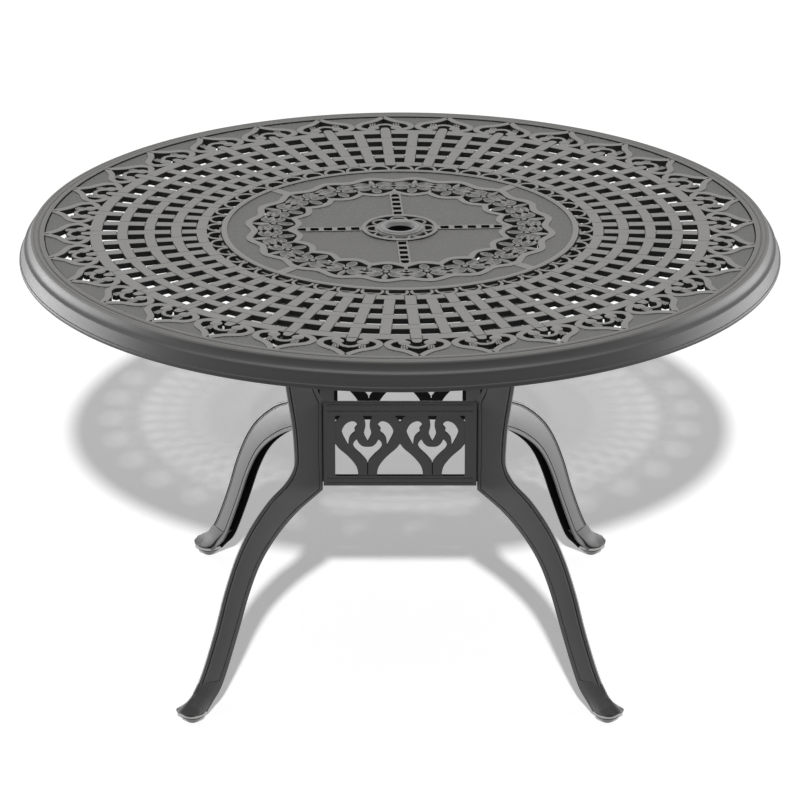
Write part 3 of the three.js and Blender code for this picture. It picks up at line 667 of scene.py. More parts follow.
def coated(name, colour, roughness, grain_size, unevenness, bump, depth, specular=0.5, metallic=0.0):
    """A painted or plain metal material on the cast skin."""
    if name in bpy.data.materials:
        return bpy.data.materials[name]
    material = bpy.data.materials.new(name)
    material.use_nodes = True
    tree = material.node_tree
    skin = add_node(tree, "ShaderNodeGroup", node_tree=cast_skin_group())
    feed(tree, skin, {"Colour": (*colour, 1), "Grain size": grain_size, "Unevenness": unevenness,
                      "Roughness": roughness})
    rough = add_node(tree, "ShaderNodeBump", {
        "Strength": bump, "Distance": depth, "Height": skin.outputs["Height"]})
    feed(tree, tree.nodes["Principled BSDF"], {
        "Base Color": skin.outputs["Colour"], "Roughness": skin.outputs["Roughness"],
        "Normal": rough.outputs["Normal"], "Specular IOR Level": specular, "Metallic": metallic})
    return material


def strip_paint():
    values = finishes()
    return coated("Strip paint", values.top_paint, values.paint_roughness, 700, 0.10, 0.15, 0.2 * MM)


# Darker paint on the sunk grained ground, where it is partly painted shade, and in the petals' sunk middles,
# where it is painted shade.
def shaded_ground_paint():
    return coated("Grained ground with painted shade", finishes().hollow_shade_paint, 0.6, 230, 2.8, 1.0, 0.8 * MM)


# Painted shade: the near-black colour on upright walls that lie in shade.
def wall_shade_paint():
    return coated("Painted shade on walls", finishes().wall_shade_paint, 0.7, 420, 0.30, 0.5, 0.4 * MM, specular=0.12)


def rim_paint():
    return coated("Rim paint", finishes().rim_paint, 0.5, 700, 0.08, 0.12, 0.2 * MM, specular=0.2)


# The base's darker paint on the rolled rim's lower skirt: a shaded copy of the rim's paint, painted shade on
# faces turned away from the light above.
def skirt_shade_paint():
    return coated("Painted shade on the skirt", finishes().base_paint, 0.42, 700, 0.08, 0.12, 0.2 * MM, specular=0.28)


def base_paint():
    return coated("Base paint", finishes().base_paint, 0.41, 700, 0.08, 0.15, 0.2 * MM)


def edge_highlight_paint():
    """A lighter copy of the base paint on the legs' raised bead edges: a painted highlight where they catch
    the light.
    """
    return coated("Painted edge highlight", (0.15, 0.15, 0.152), 0.3, 500, 0.3, 0.15, 0.2 * MM)


def foot_paint():
    """The base's paint on the feet, dulled by scuffs."""
    return coated("Scuffed feet", finishes().base_paint, 0.52, 260, 0.35, 0.2, 0.2 * MM, specular=0.28)


# Near-black paint for the inside of the legs' channels, their bosses and the collar's throat: painted shade.
def hollow_shade_paint():
    return coated("Painted shade in hollows", (0.006, 0.006, 0.006), 0.8, 500, 0.2, 0.3, 0.2 * MM, specular=0.1)


def collar_finish():
    return coated("Collar finish", (0.16, 0.16, 0.158), 0.32, 500, 0.1, 0.1, 0.1 * MM)


def steel():
    return coated("Brushed steel", (0.35, 0.35, 0.34), 0.35, 900, 0.15, 0.1, 0.1 * MM, metallic=1.0)


def glide_plastic():
    return coated("Glide plastic", (0.10, 0.10, 0.102), 0.35, 800, 0.1, 0.2, 0.1 * MM)


# Rim

def rim_profile():
    """Bead, groove, roll, cove, ridge, skirt and lip, then back up inside to the ledge."""
    out = [
        (0.0, -1.0), (0.0, 0.1), (0.6, 0.7), (2.0, 1.0), (5.4, 1.0), (6.9, 0.5), (7.5, -0.4), (7.9, -1.6),
        (8.8, -1.6), (9.3, -0.5), (10.2, 0.1), (12.0, 0.4), (14.4, 0.4), (15.5, 0.0), (15.9, -0.6),
        (16.5, -0.6), (17.1, 0.2), (18.4, 0.7), (20.2, 0.7), (21.4, 0.1), (22.2, -1.0), (22.6, -2.6),
        (23.4, -5.4), (24.4, -8.4), (25.6, -11.0), (27.0, -13.2), (28.4, -14.5), (29.8, -15.0),
        (30.8, -15.1), (31.9, -15.8), (32.6, -17.0), (33.0, -18.8), (34.2, -22.6), (35.6, -26.6),
        (36.8, -30.4), (37.4, -32.8), (37.8, -33.7), (39.2, -34.1), (39.8, -35.0), (40.0, -37.6),
        (39.6, -39.4), (38.6, -41.0),
    ]
    back = [
        (34.0, -39.4), (33.0, -38.6), (30.6, -33.0), (27.0, -25.5), (24.0, -22.4), (18.0, -17.0),
        (10.0, -13.4),
    ]
    inner = field_radius()
    shelf = inner - LEDGE_WIDTH
    ledge = underside() - SEAM
    profile = [(inner + x * MM, face() + z * MM) for x, z in out + back]
    return profile + [(inner, ledge - LEDGE_THICKNESS), (shelf, ledge - LEDGE_THICKNESS), (shelf, ledge),
                      (inner, ledge)]


# Openwork quarters, built between the seams at 0 and 90 degrees

def woven_run(crossings, half, first, last, groove):
    """Places along a strip and how far it sinks there: flat on top, and dipped where another passes over."""
    stops = []
    for middle, dips in crossings:
        if dips:
            stops += [(middle - half - groove, 0), (middle - half, WEAVE_DROP), (middle + half, WEAVE_DROP),
                      (middle + half + groove, 0)]
    stops.sort()
    inside = [stop for stop in stops if first < stop[0] < last]
    ends = []
    for place_at in (first, last):
        under = any(dips and abs(middle - place_at) < half + groove / 2 for middle, dips in crossings)
        ends.append((place_at, WEAVE_DROP if under else 0))
    return [ends[0], *inside, ends[1]]


def spoke(casting, number, first, last, sideways=0.0, width=SPOKE_WIDTH):
    """A radial strip that passes under every other ring."""
    crossings = [(radius, (row + number) % 2 == 1) for row, radius in enumerate(RINGS)]
    run = woven_run(crossings, RING_WIDTH / 2, first, last, WEAVE_GROOVE / field_radius())
    turn = 2 * math.pi * number / SPOKES
    path = [place(sideways, radius, turn) for radius, _ in run]
    casting.strip(path, width * field_radius(), [face() - drop for _, drop in run], underside())


def ring_strip(casting, row):
    """A ring of the weave across one quarter."""
    extra = LAST_RING_EXTRA if row == len(RINGS) - 1 else 0
    radius = RINGS[row] + extra / 2
    spokes = SPOKES // 4
    step = 2 * math.pi / SPOKES
    seam = math.asin(SEAM / 2 / (radius * field_radius()))
    crossings = [(number * step, (row + number) % 2 == 0) for number in range(spokes + 1)]
    run = woven_run(crossings, math.asin(SPOKE_WIDTH / 2 / radius), seam, spokes * step - seam,
                    WEAVE_GROOVE / (radius * field_radius()))
    path = []
    tops = []
    for (start, drop), (end, after) in zip(run, run[1:]):
        pieces = max(1, round((end - start) / math.radians(1.5)))
        for i in range(pieces):
            share = i / pieces
            path.append(place(0, radius, start + (end - start) * share))
            tops.append(face() - drop - (after - drop) * share)
    path.append(place(0, radius, run[-1][0]))
    tops.append(face() - run[-1][1])
    casting.strip(path, (RING_WIDTH + extra) * field_radius(), tops, underside() + 0.05 * MM)


def half_motif(casting, side, whole):
    """A pointed motif on the line of a tip spoke, or one side of it: outline, scroll, buds and calyx."""
    unit = field_radius()
    for points, width, drop, steps in (
            (HEART_PATH, HEART_WIDTH, 0, 3), (VEE_PATH, VEE_WIDTH, 0.6 * MM, 4)):
        path = smooth_path(points, steps)
        if whole:
            path = mirrored(path)
        else:
            path = [(max(x, SEAM / 2 / unit), y) for x, y in path]
        casting.strip([place(x * side, y) for x, y in path], width * unit, face() - drop, underside(),
                      end=None if whole else Vector((side, 0)))
    for mirror in ((side, -side) if whole else (side,)):
        bud = place(BUD[0] * mirror, BUD[1])
        casting.dome(bud, BUD_RADIUS * unit, 1.2 * MM, face() + 0.6 * MM, underside())
        for points in CALYX_PATHS:
            path = [place(x * mirror, y) for x, y in smooth_path(points, 3)]
            casting.strip(path, CALYX_WIDTH * unit, face() - 0.8 * MM, underside(), 1.0 * MM)


def tab(casting, side, whole):
    """The rounded end of a tip spoke past the last ring."""
    gap = 0 if whole else SEAM / 2 / field_radius()
    half = [(max(x, gap) * side, y) for x, y in TAB_PATH]
    rest = [(-x, y) for x, y in reversed(half[:-1])] if whole else [(gap * side, TAB_PATH[0][1])]
    casting.plate([place(x, y) for x, y in half + rest], [], face() - 0.5 * MM, underside())


def spandrel(casting):
    """The grained ground between two motifs and the rim, round the line of a cusp spoke."""
    step = math.pi / MOTIFS
    left = [Matrix.Rotation(step, 2) @ place(-p.x, p.y) for p in smooth_path(HEART_PATH[4:], 3)]
    right = [Vector((-p.x, p.y)) for p in left]
    edge = arc(field_radius() - RIM_GAP, [step * (0.99 - 1.98 * i / 12) for i in range(13)])
    # The ground plate gets the darker ground paint, partly painted shade.
    casting.plate([*left, *edge, *reversed(right)], [], face() - FIELD_DROP, underside(), mark=GROUND)


def small_loop(casting):
    path = [place(x, y) for x, y in smooth_path(mirrored(LOOP_PATH), 3)]
    casting.strip(path, LOOP_WIDTH * field_radius(), face() - 0.3 * MM, underside())


def tip_spoke(casting, side, whole):
    """A spoke with a motif at its end, whole or cut lengthwise by a seam."""
    first = RINGS[0] - RING_WIDTH / 2
    last = TAB_PATH[0][1] + OVERLAP
    if whole:
        spoke(casting, 0, first, last)
    else:
        gap = SEAM / 4 / field_radius()
        spoke(casting, 0, first, last, side * (SPOKE_WIDTH / 4 + gap), SPOKE_WIDTH / 2 - 2 * gap)
    half_motif(casting, side, whole)
    tab(casting, side, whole)


def quarter_rings(casting):
    """The rings across one quarter, and a low thin one beside the middle casting."""
    for row in range(len(RINGS)):
        ring_strip(casting, row)
    angles = [math.radians(0.05 + 89.9 * i / 60) for i in range(61)]
    edge = arc(middle_radius() + SEAM + INNER_EDGE_WIDTH / 2, angles)
    casting.strip(edge, INNER_EDGE_WIDTH, face() - 5 * MM, underside(), 0.4 * MM)


def openwork_mesh(strip, ground):
    """One quarter between its seams, as a plain mesh with two finishes."""
    step = 2 * math.pi / MOTIFS
    motifs = MOTIFS // 4
    loop_step = 2 * math.pi / LOOPS
    cusp = cast("cusp spoke", spoke, 1, RINGS[0] - RING_WIDTH / 2, RINGS[-1] + RING_WIDTH / 2)
    last_end = cast("seam end", tip_spoke, -1, False)
    parts = [
        around(cusp, motifs, step, 0, strip),
        around(cast("tip spoke", tip_spoke, 1, True), motifs - 1, step, step, strip),
        cast("seam end", tip_spoke, 1, False),
        moved(last_end, Matrix.Rotation(math.pi / 2, 4, "Z")),
        cast("rings", quarter_rings),
        around(cast("loop", small_loop), LOOPS // 4, loop_step, loop_step / 2, strip),
    ]
    grounds = around(cast("spandrel", spandrel), motifs, step, step / 2, ground)
    return joined([marked(part, STRIP) for part in parts] + [marked(grounds, GROUND)])


def middle_radius():
    return BEAD_RING[1] * field_radius()


# Middle casting

def scallop_path(outer):
    """A wavy line beside the ring of flowers, on its outer or its inner side."""
    count = FLOWERS * 12
    path = []
    for i in range(count):
        angle = 2 * math.pi * i / count
        if outer:
            radius = OUTER_SCALLOP[0] - OUTER_SCALLOP[1] * math.cos(FLOWERS * angle)
        else:
            radius = INNER_SCALLOP[0] - INNER_SCALLOP[1] * abs(math.sin(FLOWERS / 2 * angle))
        path.append(place(0, radius, angle))
    return path


def circle(radius, segments=160):
    angles = [2 * math.pi * i / segments for i in range(segments)]
    return [Vector((math.cos(a), math.sin(a))) * radius for a in angles]


def flower(casting):
    """One flower of the ring, on the line at the rear: petals, leaves and a round heart."""
    top = face()
    bottom = underside()
    unit = field_radius()
    heart = place(0, FLOWER_RADIUS)

    def way(degrees):
        angle = math.radians(degrees)
        return Vector((math.sin(angle), -math.cos(angle)))

    for degrees, reach, length, width in FLOWER_PETALS:
        heading = way(degrees)
        casting.petal(heart + heading * reach * unit, heading, length * unit, width * unit, top, bottom)
    for degrees, start, length, width in FLOWER_LEAVES:
        heading = way(degrees)
        casting.leaf(heart + heading * start * unit, heading, length * unit, width * unit,
                     top + 0.4 * MM, top - 1.6 * MM, bottom, fullest=0.4)
    casting.dome(heart, FLOWER_HEART * unit, 1.4 * MM, top + 0.9 * MM, bottom, 16)


def flower_tie(casting):
    """Stem and leaves between two flowers, on the line at the rear."""
    top = face()
    unit = field_radius()
    radius, length, width = TIE_STEM
    casting.leaf(place(0, radius), (0, 1), length * unit, width * unit, top, top - 0.8 * MM, underside())
    for side in (1, -1):
        for radius, slope, length, width, rise, drop in TIE_LEAVES:
            casting.leaf(place(0, radius), (side, slope), length * unit, width * unit, top + rise, top - drop,
                         underside())


def slot_outline(radius):
    """A slot of a ladder; the outermost one narrows at its end."""
    half = SLOT_WIDTH / 2
    near = radius - SLOT_LENGTH / 2
    far = radius + SLOT_LENGTH / 2
    outline = [(-half, near), (half, near), (half, far), (-half, far)]
    if radius == SLOT_RADII[-1]:
        outline[2:] = [(half, radius), (half * 0.6, far), (-half * 0.6, far), (-half, radius)]
    return [place(x, y) for x, y in outline]


def slot_arm(casting):
    """A raised ladder from the hub to the inner scallops, on the line at the rear."""
    half = ARM_WIDTH / 2
    near = HUB_RING[1] - OVERLAP
    outline = [place(x, y) for x, y in ((-half, near), (half, near), (half, ARM_END), (-half, ARM_END))]
    casting.plate(outline, [slot_outline(r) for r in SLOT_RADII], face() - 0.4 * MM, underside())
    for side in (1, -1):
        path = [place(side * (half - ARM_BEAD_WIDTH / 2), r) for r in (near, ARM_END)]
        casting.strip(path, ARM_BEAD_WIDTH * field_radius(), face() + 0.1 * MM, underside())


def hub_loop(casting):
    path = [place(x, y) for x, y in smooth_path(mirrored(HUB_LOOP_PATH), 3)]
    casting.strip(path, HUB_LOOP_WIDTH * field_radius(), face(), underside(), 1.2 * MM)


def middle_grounds(casting):
    """The sunk grounds: inside the inner scallops, with the slots cut through, and beyond the outer ones."""
    holes = [circle((HUB_RING[0] + 0.006) * field_radius(), 64)]
    for arm in range(4):
        turn = Matrix.Rotation(arm * math.pi / 2, 2)
        holes += [[turn @ p for p in slot_outline(radius)] for radius in SLOT_RADII]
    edge = circle((BEAD_RING[0] + OVERLAP) * field_radius())
    for outline, inside in ((scallop_path(False), holes), (edge, [scallop_path(True)])):
        # The ground plates get the darker ground paint, partly painted shade.
        casting.plate(outline, inside, face() - FIELD_DROP, underside(), mark=GROUND)


def bead_ring_profile():
    """Half-round ring at the edge, with the shelf below that carries the quarters."""
    inner = BEAD_RING[0] * field_radius()
    outer = middle_radius()
    ledge = underside() - SEAM
    width = outer - inner
    bead = [(inner + width * (1 - math.cos(a)) / 2, face() + 1.2 * MM * math.sin(a)) for a in (
        math.pi * i / 10 for i in range(11))]
    return [(inner, underside()), *bead, (outer, ledge), (outer + SHELF_REACH, ledge),
            (outer + SHELF_REACH, ledge - LEDGE_THICKNESS), (outer - SHELF_REACH, ledge - LEDGE_THICKNESS),
            (outer - SHELF_REACH, underside())]


def smooth_bar(casting):
    """A smooth bar across the grained band, on the line at the rear."""
    path = [place(0, OUTER_SCALLOP[0]), place(0, BEAD_RING[0] + OVERLAP)]
    casting.strip(path, BAR_WIDTH * field_radius(), face() - 0.3 * MM, underside())


def flange_block(casting, low, high):
    """A block as large in plan as a leg's flange, on +X, between two heights."""
    middle = flange_middle()
    half, half_width = FLANGE_HALF
    casting.block((middle - half, -half_width, low), (middle + half, half_width, high))


def leg_pad(casting):
    """Pad under the middle casting that a leg's flange is bolted to."""
    flange_block(casting, underside() - PAD_THICKNESS, face() - 4 * MM)


def middle_rings(casting):
    """The rings at the edge and the hub, the collar's seat and the wavy lines beside the flowers."""
    unit = field_radius()
    top = face()
    low = underside()
    inner, outer = [share * unit for share in HUB_RING]
    seat, seat_edge, sleeve = [share * unit for share in HUB_SEAT]
    casting.turned(bead_ring_profile(), 200)
    casting.turned([
        (inner, low), (outer, low), (outer, top + 0.6 * MM), (outer - 0.9 * MM, top + 1.5 * MM),
        (inner + 0.9 * MM, top + 1.5 * MM), (inner, top + 0.6 * MM)], 96)
    casting.turned([(seat, low), (sleeve, low), (sleeve, top - 3.5 * MM), (seat_edge, top), (seat, top)], 96)
    casting.strip(scallop_path(True), OUTER_SCALLOP_WIDTH * unit, top, low, closed=True)
    casting.strip(scallop_path(False), INNER_SCALLOP_WIDTH * unit, top, low, closed=True)


def middle_mesh(strip):
    parts = [cast("rings", middle_rings)]
    for build, count, shift in (
            (flower, FLOWERS, 0.5), (flower_tie, FLOWERS, 0), (slot_arm, 4, 0), (smooth_bar, 4, 0.5),
            (hub_loop, HUB_LOOPS, 0)):
        shape = cast(build.__name__, build)
        step = 2 * math.pi / count
        parts.append(marks_repeated(around(shape, count, step, shift * step, strip), shape, count))
    pads = around(cast("pad", leg_pad), 4, math.pi / 2, math.pi / 4 - sizes().pattern_turn, strip)
    return joined(parts + [marked(pads, STRIP), marked(cast("grounds", middle_grounds), GROUND)])


# Umbrella collar

def collar_profile():
    """A rounded flange, a funnel down to the throat and a tapered sleeve below."""
    throat = sizes().pole_radius
    top = collar_high.z
    low = collar_low.z
    outer = (collar_high.x - collar_low.x) / 2
    seat = face() + SEAM
    sleeve = outer - 4.5 * MM
    flange = [(outer - x * MM, seat + z * MM) for x, z in (
        (0, 0), (0, 1.0), (0.8, 1.7), (2.6, 1.7), (3.4, 0.9), (5.0, 0.9))]
    funnel = [(throat + x * MM, top - z * MM) for x, z in (
        (4.6, 0), (3.6, 0.5), (2.4, 2.2), (1.2, 4.8), (0, 6.4))]
    return [(throat, low), (throat + 2.8 * MM, low), (throat + 3.5 * MM, low + 0.7 * MM),
            (sleeve, underside() - sizes().casting_depth), (sleeve, seat), *flange,
            (outer - 5.8 * MM, top - 0.5 * MM), (outer - 7.0 * MM, top), *funnel]


# Legs

def post_inner():
    return sizes().apron_distance * math.sqrt(2) - POST_INSET


def post_outer():
    return post_inner() + POST_DEPTH


def flange_middle():
    return middle_radius() - FLANGE_INSET


def brace_face():
    """Middle of the table to the outer face of a corner brace."""
    return post_inner() - BRACE_REACH


def heights():
    """Heights of the arm's top, the shoulder and the knee of a leg."""
    flange_bottom = underside() - PAD_THICKNESS - SEAM - FLANGE_THICKNESS
    return flange_bottom + 2 * MM, apron_high.z + SHOULDER_RISE, apron_low.z - KNEE_DROP


def leg_runs():
    """Outer points of a leg from the top down, and the three runs of its inner edge."""
    arm_top, shoulder, knee = heights()
    lean = flange_middle() - (post_inner() + post_outer()) / 2
    reach = sizes().toe_radius - post_outer()
    rise = arm_top - shoulder
    post = shoulder - knee

    def pairs(shares, spread, base, scale):
        return [(Vector((post_outer() + a * spread, base + b * scale)),
                 Vector((post_inner() + c * spread, base + d * scale))) for a, b, c, d in shares]

    arm = pairs(ARM_SHARES, lean, shoulder, rise)
    waist = pairs([SHOULDER_SHARES, *POST_SHARES], lean, knee, post)
    shin = pairs(SHIN_SHARES, reach, 0, knee)
    outer = [pair[0] for pair in arm + waist + shin]
    inner = [pair[1] for pair in arm + waist + shin]
    first = len(arm)
    second = len(arm) + len(waist)
    return outer, [inner[:first + 1], inner[first:second + 1], inner[second:]]


def leg_half_outline(depth, panel):
    """Half a section of the channel: nose, bead, groove, sunk panel, rail and wall, as (inward, sideways)."""
    def side(x, sink=0.0):
        start = 1.5 * MM
        half = NOSE_WIDTH / 2 + (LEG_OPENING - NOSE_WIDTH) / 2 * (x - start) / (depth - start)
        return (x, half - sink)

    rail = min(6.9 * MM, depth * 0.2)
    end = 8.9 * MM + (depth - rail - 9.9 * MM) * panel
    deep = 1.0 * MM * min(1, panel * 2)
    nose = [(0, 0.7 * MM), (0.3 * MM, 1.7 * MM), (1.0 * MM, 2.7 * MM), (2.0 * MM, 3.4 * MM)]
    bead = [side(x * MM, sink) for x, sink in (
        (2.8, 0.1 * MM), (3.6, deep), (5.2, deep), (5.8, -0.2 * MM), (6.8, -0.2 * MM), (7.3, 0.6 * deep),
        (8.2, 0.3 * deep))]
    panel_end = [side(end + x * MM, sink) for x, sink in (
        (-0.6, 0.3 * deep), (0, 1.1 * deep), (0.8, 1.1 * deep), (1.4, 0))]
    wall = [(depth, LEG_OPENING / 2 - LEG_WALL), (6 * MM, 1.7 * MM)]
    return nose + bead + panel_end + [side(depth - 0.8 * MM), side(depth, 0.8 * MM)], wall


def section_loop(outer, inner, outline):
    inward = (inner - outer).normalized()
    return [(outer.x + inward.x * x, y, outer.y + inward.y * x) for x, y in outline]


def leg_channel(casting):
    """The open channel from the flange down to the ankle, with sunk panels on both sides."""
    steps = 6
    outer, runs = leg_runs()
    outer = smooth_path(outer, steps)
    inner = []
    for run in runs:
        inner += smooth_path(run, steps)[0 if not inner else 1:]
    rows = len(outer)
    loops = []
    for i, (a, b) in enumerate(zip(outer, inner)):
        remaining = (rows - 1 - i) / steps
        panel = min(1, max(0, (remaining - 0.9) / 1.6)) ** 0.6
        half, wall = leg_half_outline((b - a).length, panel)
        right = [(x, -y) for x, y in half + wall]
        left = [(x, y) for x, y in reversed(half + wall)]
        loops.append(section_loop(a, b, right + left))
    count = len(loops[0])
    start = len(casting.faces)
    casting.sweep(loops)
    # The channel's inside gets the near-black hollow paint and its grooves the wall paint, both painted
    # shade; its bead edges get the lighter paint of a painted highlight.
    for row in range(rows - 1):
        first = start + row * count
        for i in range(len(half), count - len(half) - 1):
            casting.marks[first + i] = HOLLOW
        for number, strips in ((GROOVE, GROOVE_STRIPS), (HIGHLIGHT_EDGE, HIGHLIGHT_EDGE_STRIPS)):
            for i in strips:
                casting.marks[first + i] = number
                casting.marks[first + count - 2 - i] = number


def foot_outline(depth, width, nose):
    """A cut through the foot; where it is thin, near the toe, its edges shrink with its depth."""
    thin = min(1, depth / FOOT_FULL_DEPTH)
    half_width = LEG_OPENING / 2 * width
    middle = (4.6 * MM * nose + half_width) / 2 * 1.04
    half = [(x * MM * thin, y * MM * nose) for x, y in ((0, 0.8), (0.4, 2.2), (1.3, 3.2), (2.2, 3.6))]
    half += [(depth * 0.45, middle), (depth - 5.0 * MM * thin, half_width * 0.975),
             (depth - 3.8 * MM * thin, half_width * 0.985)]
    half += [(depth - x * MM * thin, half_width - y * MM) for x, y in (
        (2.9, 0), (1.4, 0), (0.5, 0.7), (0, 1.8))]
    return [(x, -y) for x, y in half] + [(x, y) for x, y in reversed(half)]


def leg_foot(casting):
    """The slipper foot: it starts inside the shin and flares to the toe, over a steel pad."""
    reach = sizes().toe_radius - post_outer()
    knee = heights()[2]
    steps = 5
    outer = [(post_outer() + a * reach, b * knee) for a, b, c, d in FOOT_SHARES]
    inner = [(post_inner() + c * reach, GLIDE_HEIGHT + d * knee) for a, b, c, d in FOOT_SHARES]
    outer, inner, shape = [
        smooth_path(points, steps) for points in (outer, inner, zip(FOOT_WIDTHS, FOOT_NOSES))]
    loops = []
    for i, (a, b, share) in enumerate(zip(outer, inner, shape)):
        outline = foot_outline((b - a).length, share.x, share.y)
        if i:
            b.y = max(b.y, GLIDE_HEIGHT)
        loops.append(section_loop(a, b, outline))
    casting.sweep(loops, mark=FOOT)
    axis = (glide_low.xy + glide_high.xy).length / 2
    pad = [(0.1 * MM, GLIDE_HEIGHT), (FOOT_PAD[0], GLIDE_HEIGHT), (FOOT_PAD[1], FOOT_LIP),
           (0.1 * MM, FOOT_LIP)]
    casting.turned(pad, 40, (axis, 0), mark=METAL)


def whole_leg(casting):
    """Channel, foot, flange and the two bosses that the corner bolts screw into."""
    leg_channel(casting)
    leg_foot(casting)
    flange_block(casting, leg_high.z - FLANGE_THICKNESS, leg_high.z)
    near = post_inner() + 0.6 * MM
    far = near + BOSS_LENGTH
    boss = [(near, -11 * MM), (far, -7 * MM), (far, 7 * MM), (near, 11 * MM)]
    for height in bolt_heights():
        # The bosses sit inside the channel and take its near-black hollow paint, painted shade.
        casting.plate(boss, [], height + 12 * MM, height - 12 * MM, mark=HOLLOW)


def bolt_heights():
    return [apron_low.z + BOLT_INSET, apron_high.z - BOLT_INSET]


# Aprons and braces, facing +X

def apron_holes():
    """Openings of both hearts as [sideways, height], rounded between their corners."""
    width = 2 * (APRON_HALF - APRON_STILE)
    height = apron_high.z - apron_low.z - APRON_RAIL - APRON_SILL
    base = apron_low.z + APRON_SILL

    def mirror(points, line):
        return [(line - x, y) for x, y in reversed(points)]

    def closed(points):
        inner = [p for p in points if p[0] < 0.5]
        low_end, high_end = sorted((p for p in points if p[0] == 0.5), key=lambda p: p[1])
        return [high_end, *inner, low_end, *mirror(inner, 1)]

    def slit(path):
        low = min(range(len(path)), key=lambda i: path[i].y)
        tip = path[low]
        end = base + 1.5 * MM
        left = tip.x - APRON_STEM_SLIT / 2
        right = tip.x + APRON_STEM_SLIT / 2
        cut = [Vector(p) for p in ((left, tip.y), (left, end), (right, end), (right, tip.y))]
        return [*path[:low], *cut, *path[low + 1:]]

    holes = []
    for points in (closed(APRON_MOON), APRON_FOOT, APRON_LOBE, mirror(APRON_LOBE, 1), closed(APRON_SLOT),
                   APRON_CORNER):
        holes += [points, mirror(points, 2)]
    foot = [p for p in mirror(APRON_FOOT, 1) if p[0] < 1]
    corner = [p for p in mirror(APRON_CORNER, 1) if p[0] < 1]
    holes.append([(1, APRON_FOOT[-2][1]), *foot, *mirror(foot, 2)])
    holes.append([*corner, (1, APRON_CORNER[1][1]), *mirror(corner, 2)])
    placed = [[(x * width / 2 - width / 2, base + y * height) for x, y in hole] for hole in holes]
    rounded_holes = [smooth_path(hole, 3, closed=True, corner=math.radians(48)) for hole in placed]
    return [slit(hole) for hole in rounded_holes[:2]] + rounded_holes[2:]


def upright(mesh, distance):
    """Stands a plan mesh up so that its X runs along the apron and its top faces outwards."""
    turn = Matrix(((0, 0, 1, distance), (1, 0, 0, 0), (0, 1, 0, 0), (0, 0, 0, 1)))
    mesh.transform(turn)
    return mesh


def apron_mesh():
    """A frame with raised lines on its rails, and the hearts a little behind its face."""
    low = apron_low.z
    high = apron_high.z
    inside = APRON_HALF - APRON_STILE
    overlap = 1.2 * MM
    bottom = low + APRON_SILL - overlap

    def box(side, bottom, top):
        return [(-side, bottom), (side, bottom), (side, top), (-side, top)]

    def border(casting):
        opening = box(-inside, low + APRON_SILL, high - APRON_RAIL)
        opening = [opening[0], opening[3], opening[2], opening[1]]
        casting.plate(box(APRON_HALF, low, high), [opening], -0.8 * MM, -APRON_THICKNESS)
        reach = APRON_HALF - 6 * MM
        for height in (high - 4.6 * MM, high - 15.4 * MM, low + 4.4 * MM, low + 12.4 * MM):
            casting.strip([(-reach, height), (reach, height)], 2.0 * MM, 0, -2 * MM, 0.7 * MM)

    # Plates behind the stems' slits, in the near-black wall paint: painted shade at the bottom of each slit.
    def backing(casting):
        for side in (-1, 1):
            stem = box(1.5 * MM, bottom + 1.5 * MM, bottom + 22 * MM)
            casting.plate([(side * inside / 2 + x, y) for x, y in stem], [], -5.5 * MM,
                          -APRON_THICKNESS + 0.6 * MM)

    hearts = cast("hearts", Casting.plate, box(inside + overlap, bottom, high - APRON_RAIL + overlap),
                  apron_holes(), -2.2 * MM, -APRON_THICKNESS + 0.5 * MM)
    # The hearts' walls get the near-black wall paint, painted shade.
    scrolls = walls_marked(rounded(hearts, 0.65 * MM), 1)
    whole = joined([rounded(cast("border", border), 0.5 * MM), scrolls, marked(cast("backing", backing), 1)])
    # Faces that turn inwards, to the middle of the table, get the near-black wall paint too: painted shade.
    for polygon in whole.polygons:
        if polygon.normal.z < -0.9:
            polygon.material_index = 1
    return upright(whole, sizes().apron_distance)


def rounded(mesh, width):
    """Bevels the hard edges of a mesh with Blender's own modifier."""
    carrier = bpy.data.objects.new("rounded", mesh)
    bpy.context.scene.collection.objects.link(carrier)
    bevel = carrier.modifiers.new("Bevel", "BEVEL")
    bevel.width = width
    bevel.segments = 2
    bevel.limit_method = "ANGLE"
    bevel.angle_limit = math.radians(50)
    return evaluated(carrier)


def apron_lug(side):
    """Lug between the corner brace and the leg's open edge, in plan beside an apron that faces +X."""
    back = sizes().apron_distance - APRON_THICKNESS
    near = brace_face() + SEAM
    far = post_inner() - SEAM
    inset = APRON_THICKNESS / 3
    gap = 4.5 * MM

    def corner(along, across):
        return ((along + across) * math.sqrt(0.5), (along - across) * math.sqrt(0.5))

    heel = corner(near, back * math.sqrt(2) - near)
    tip = corner(far, far - APRON_HALF * math.sqrt(2))
    outline = [(back + inset, heel[1]), heel, corner(near, gap), corner(far, gap), tip,
               (tip[0], APRON_HALF - inset)]
    return cast("lug", Casting.plate, [(x, y * side) for x, y in outline], [],
                apron_high.z - 6 * MM, apron_low.z + 6 * MM)


def brace_mesh():
    """Flat bar across the inside of a corner, on +X."""
    outer = brace_face()
    half = (sizes().apron_distance - APRON_THICKNESS) * math.sqrt(2) - outer - 1 * MM
    return cast("brace", Casting.block, (outer - BRACE_THICKNESS, -half, apron_low.z + BRACE_INSET),
                (outer, half, apron_high.z - BRACE_INSET), 0.9 * MM)


# Fasteners, along +Z from the face that the head bears on

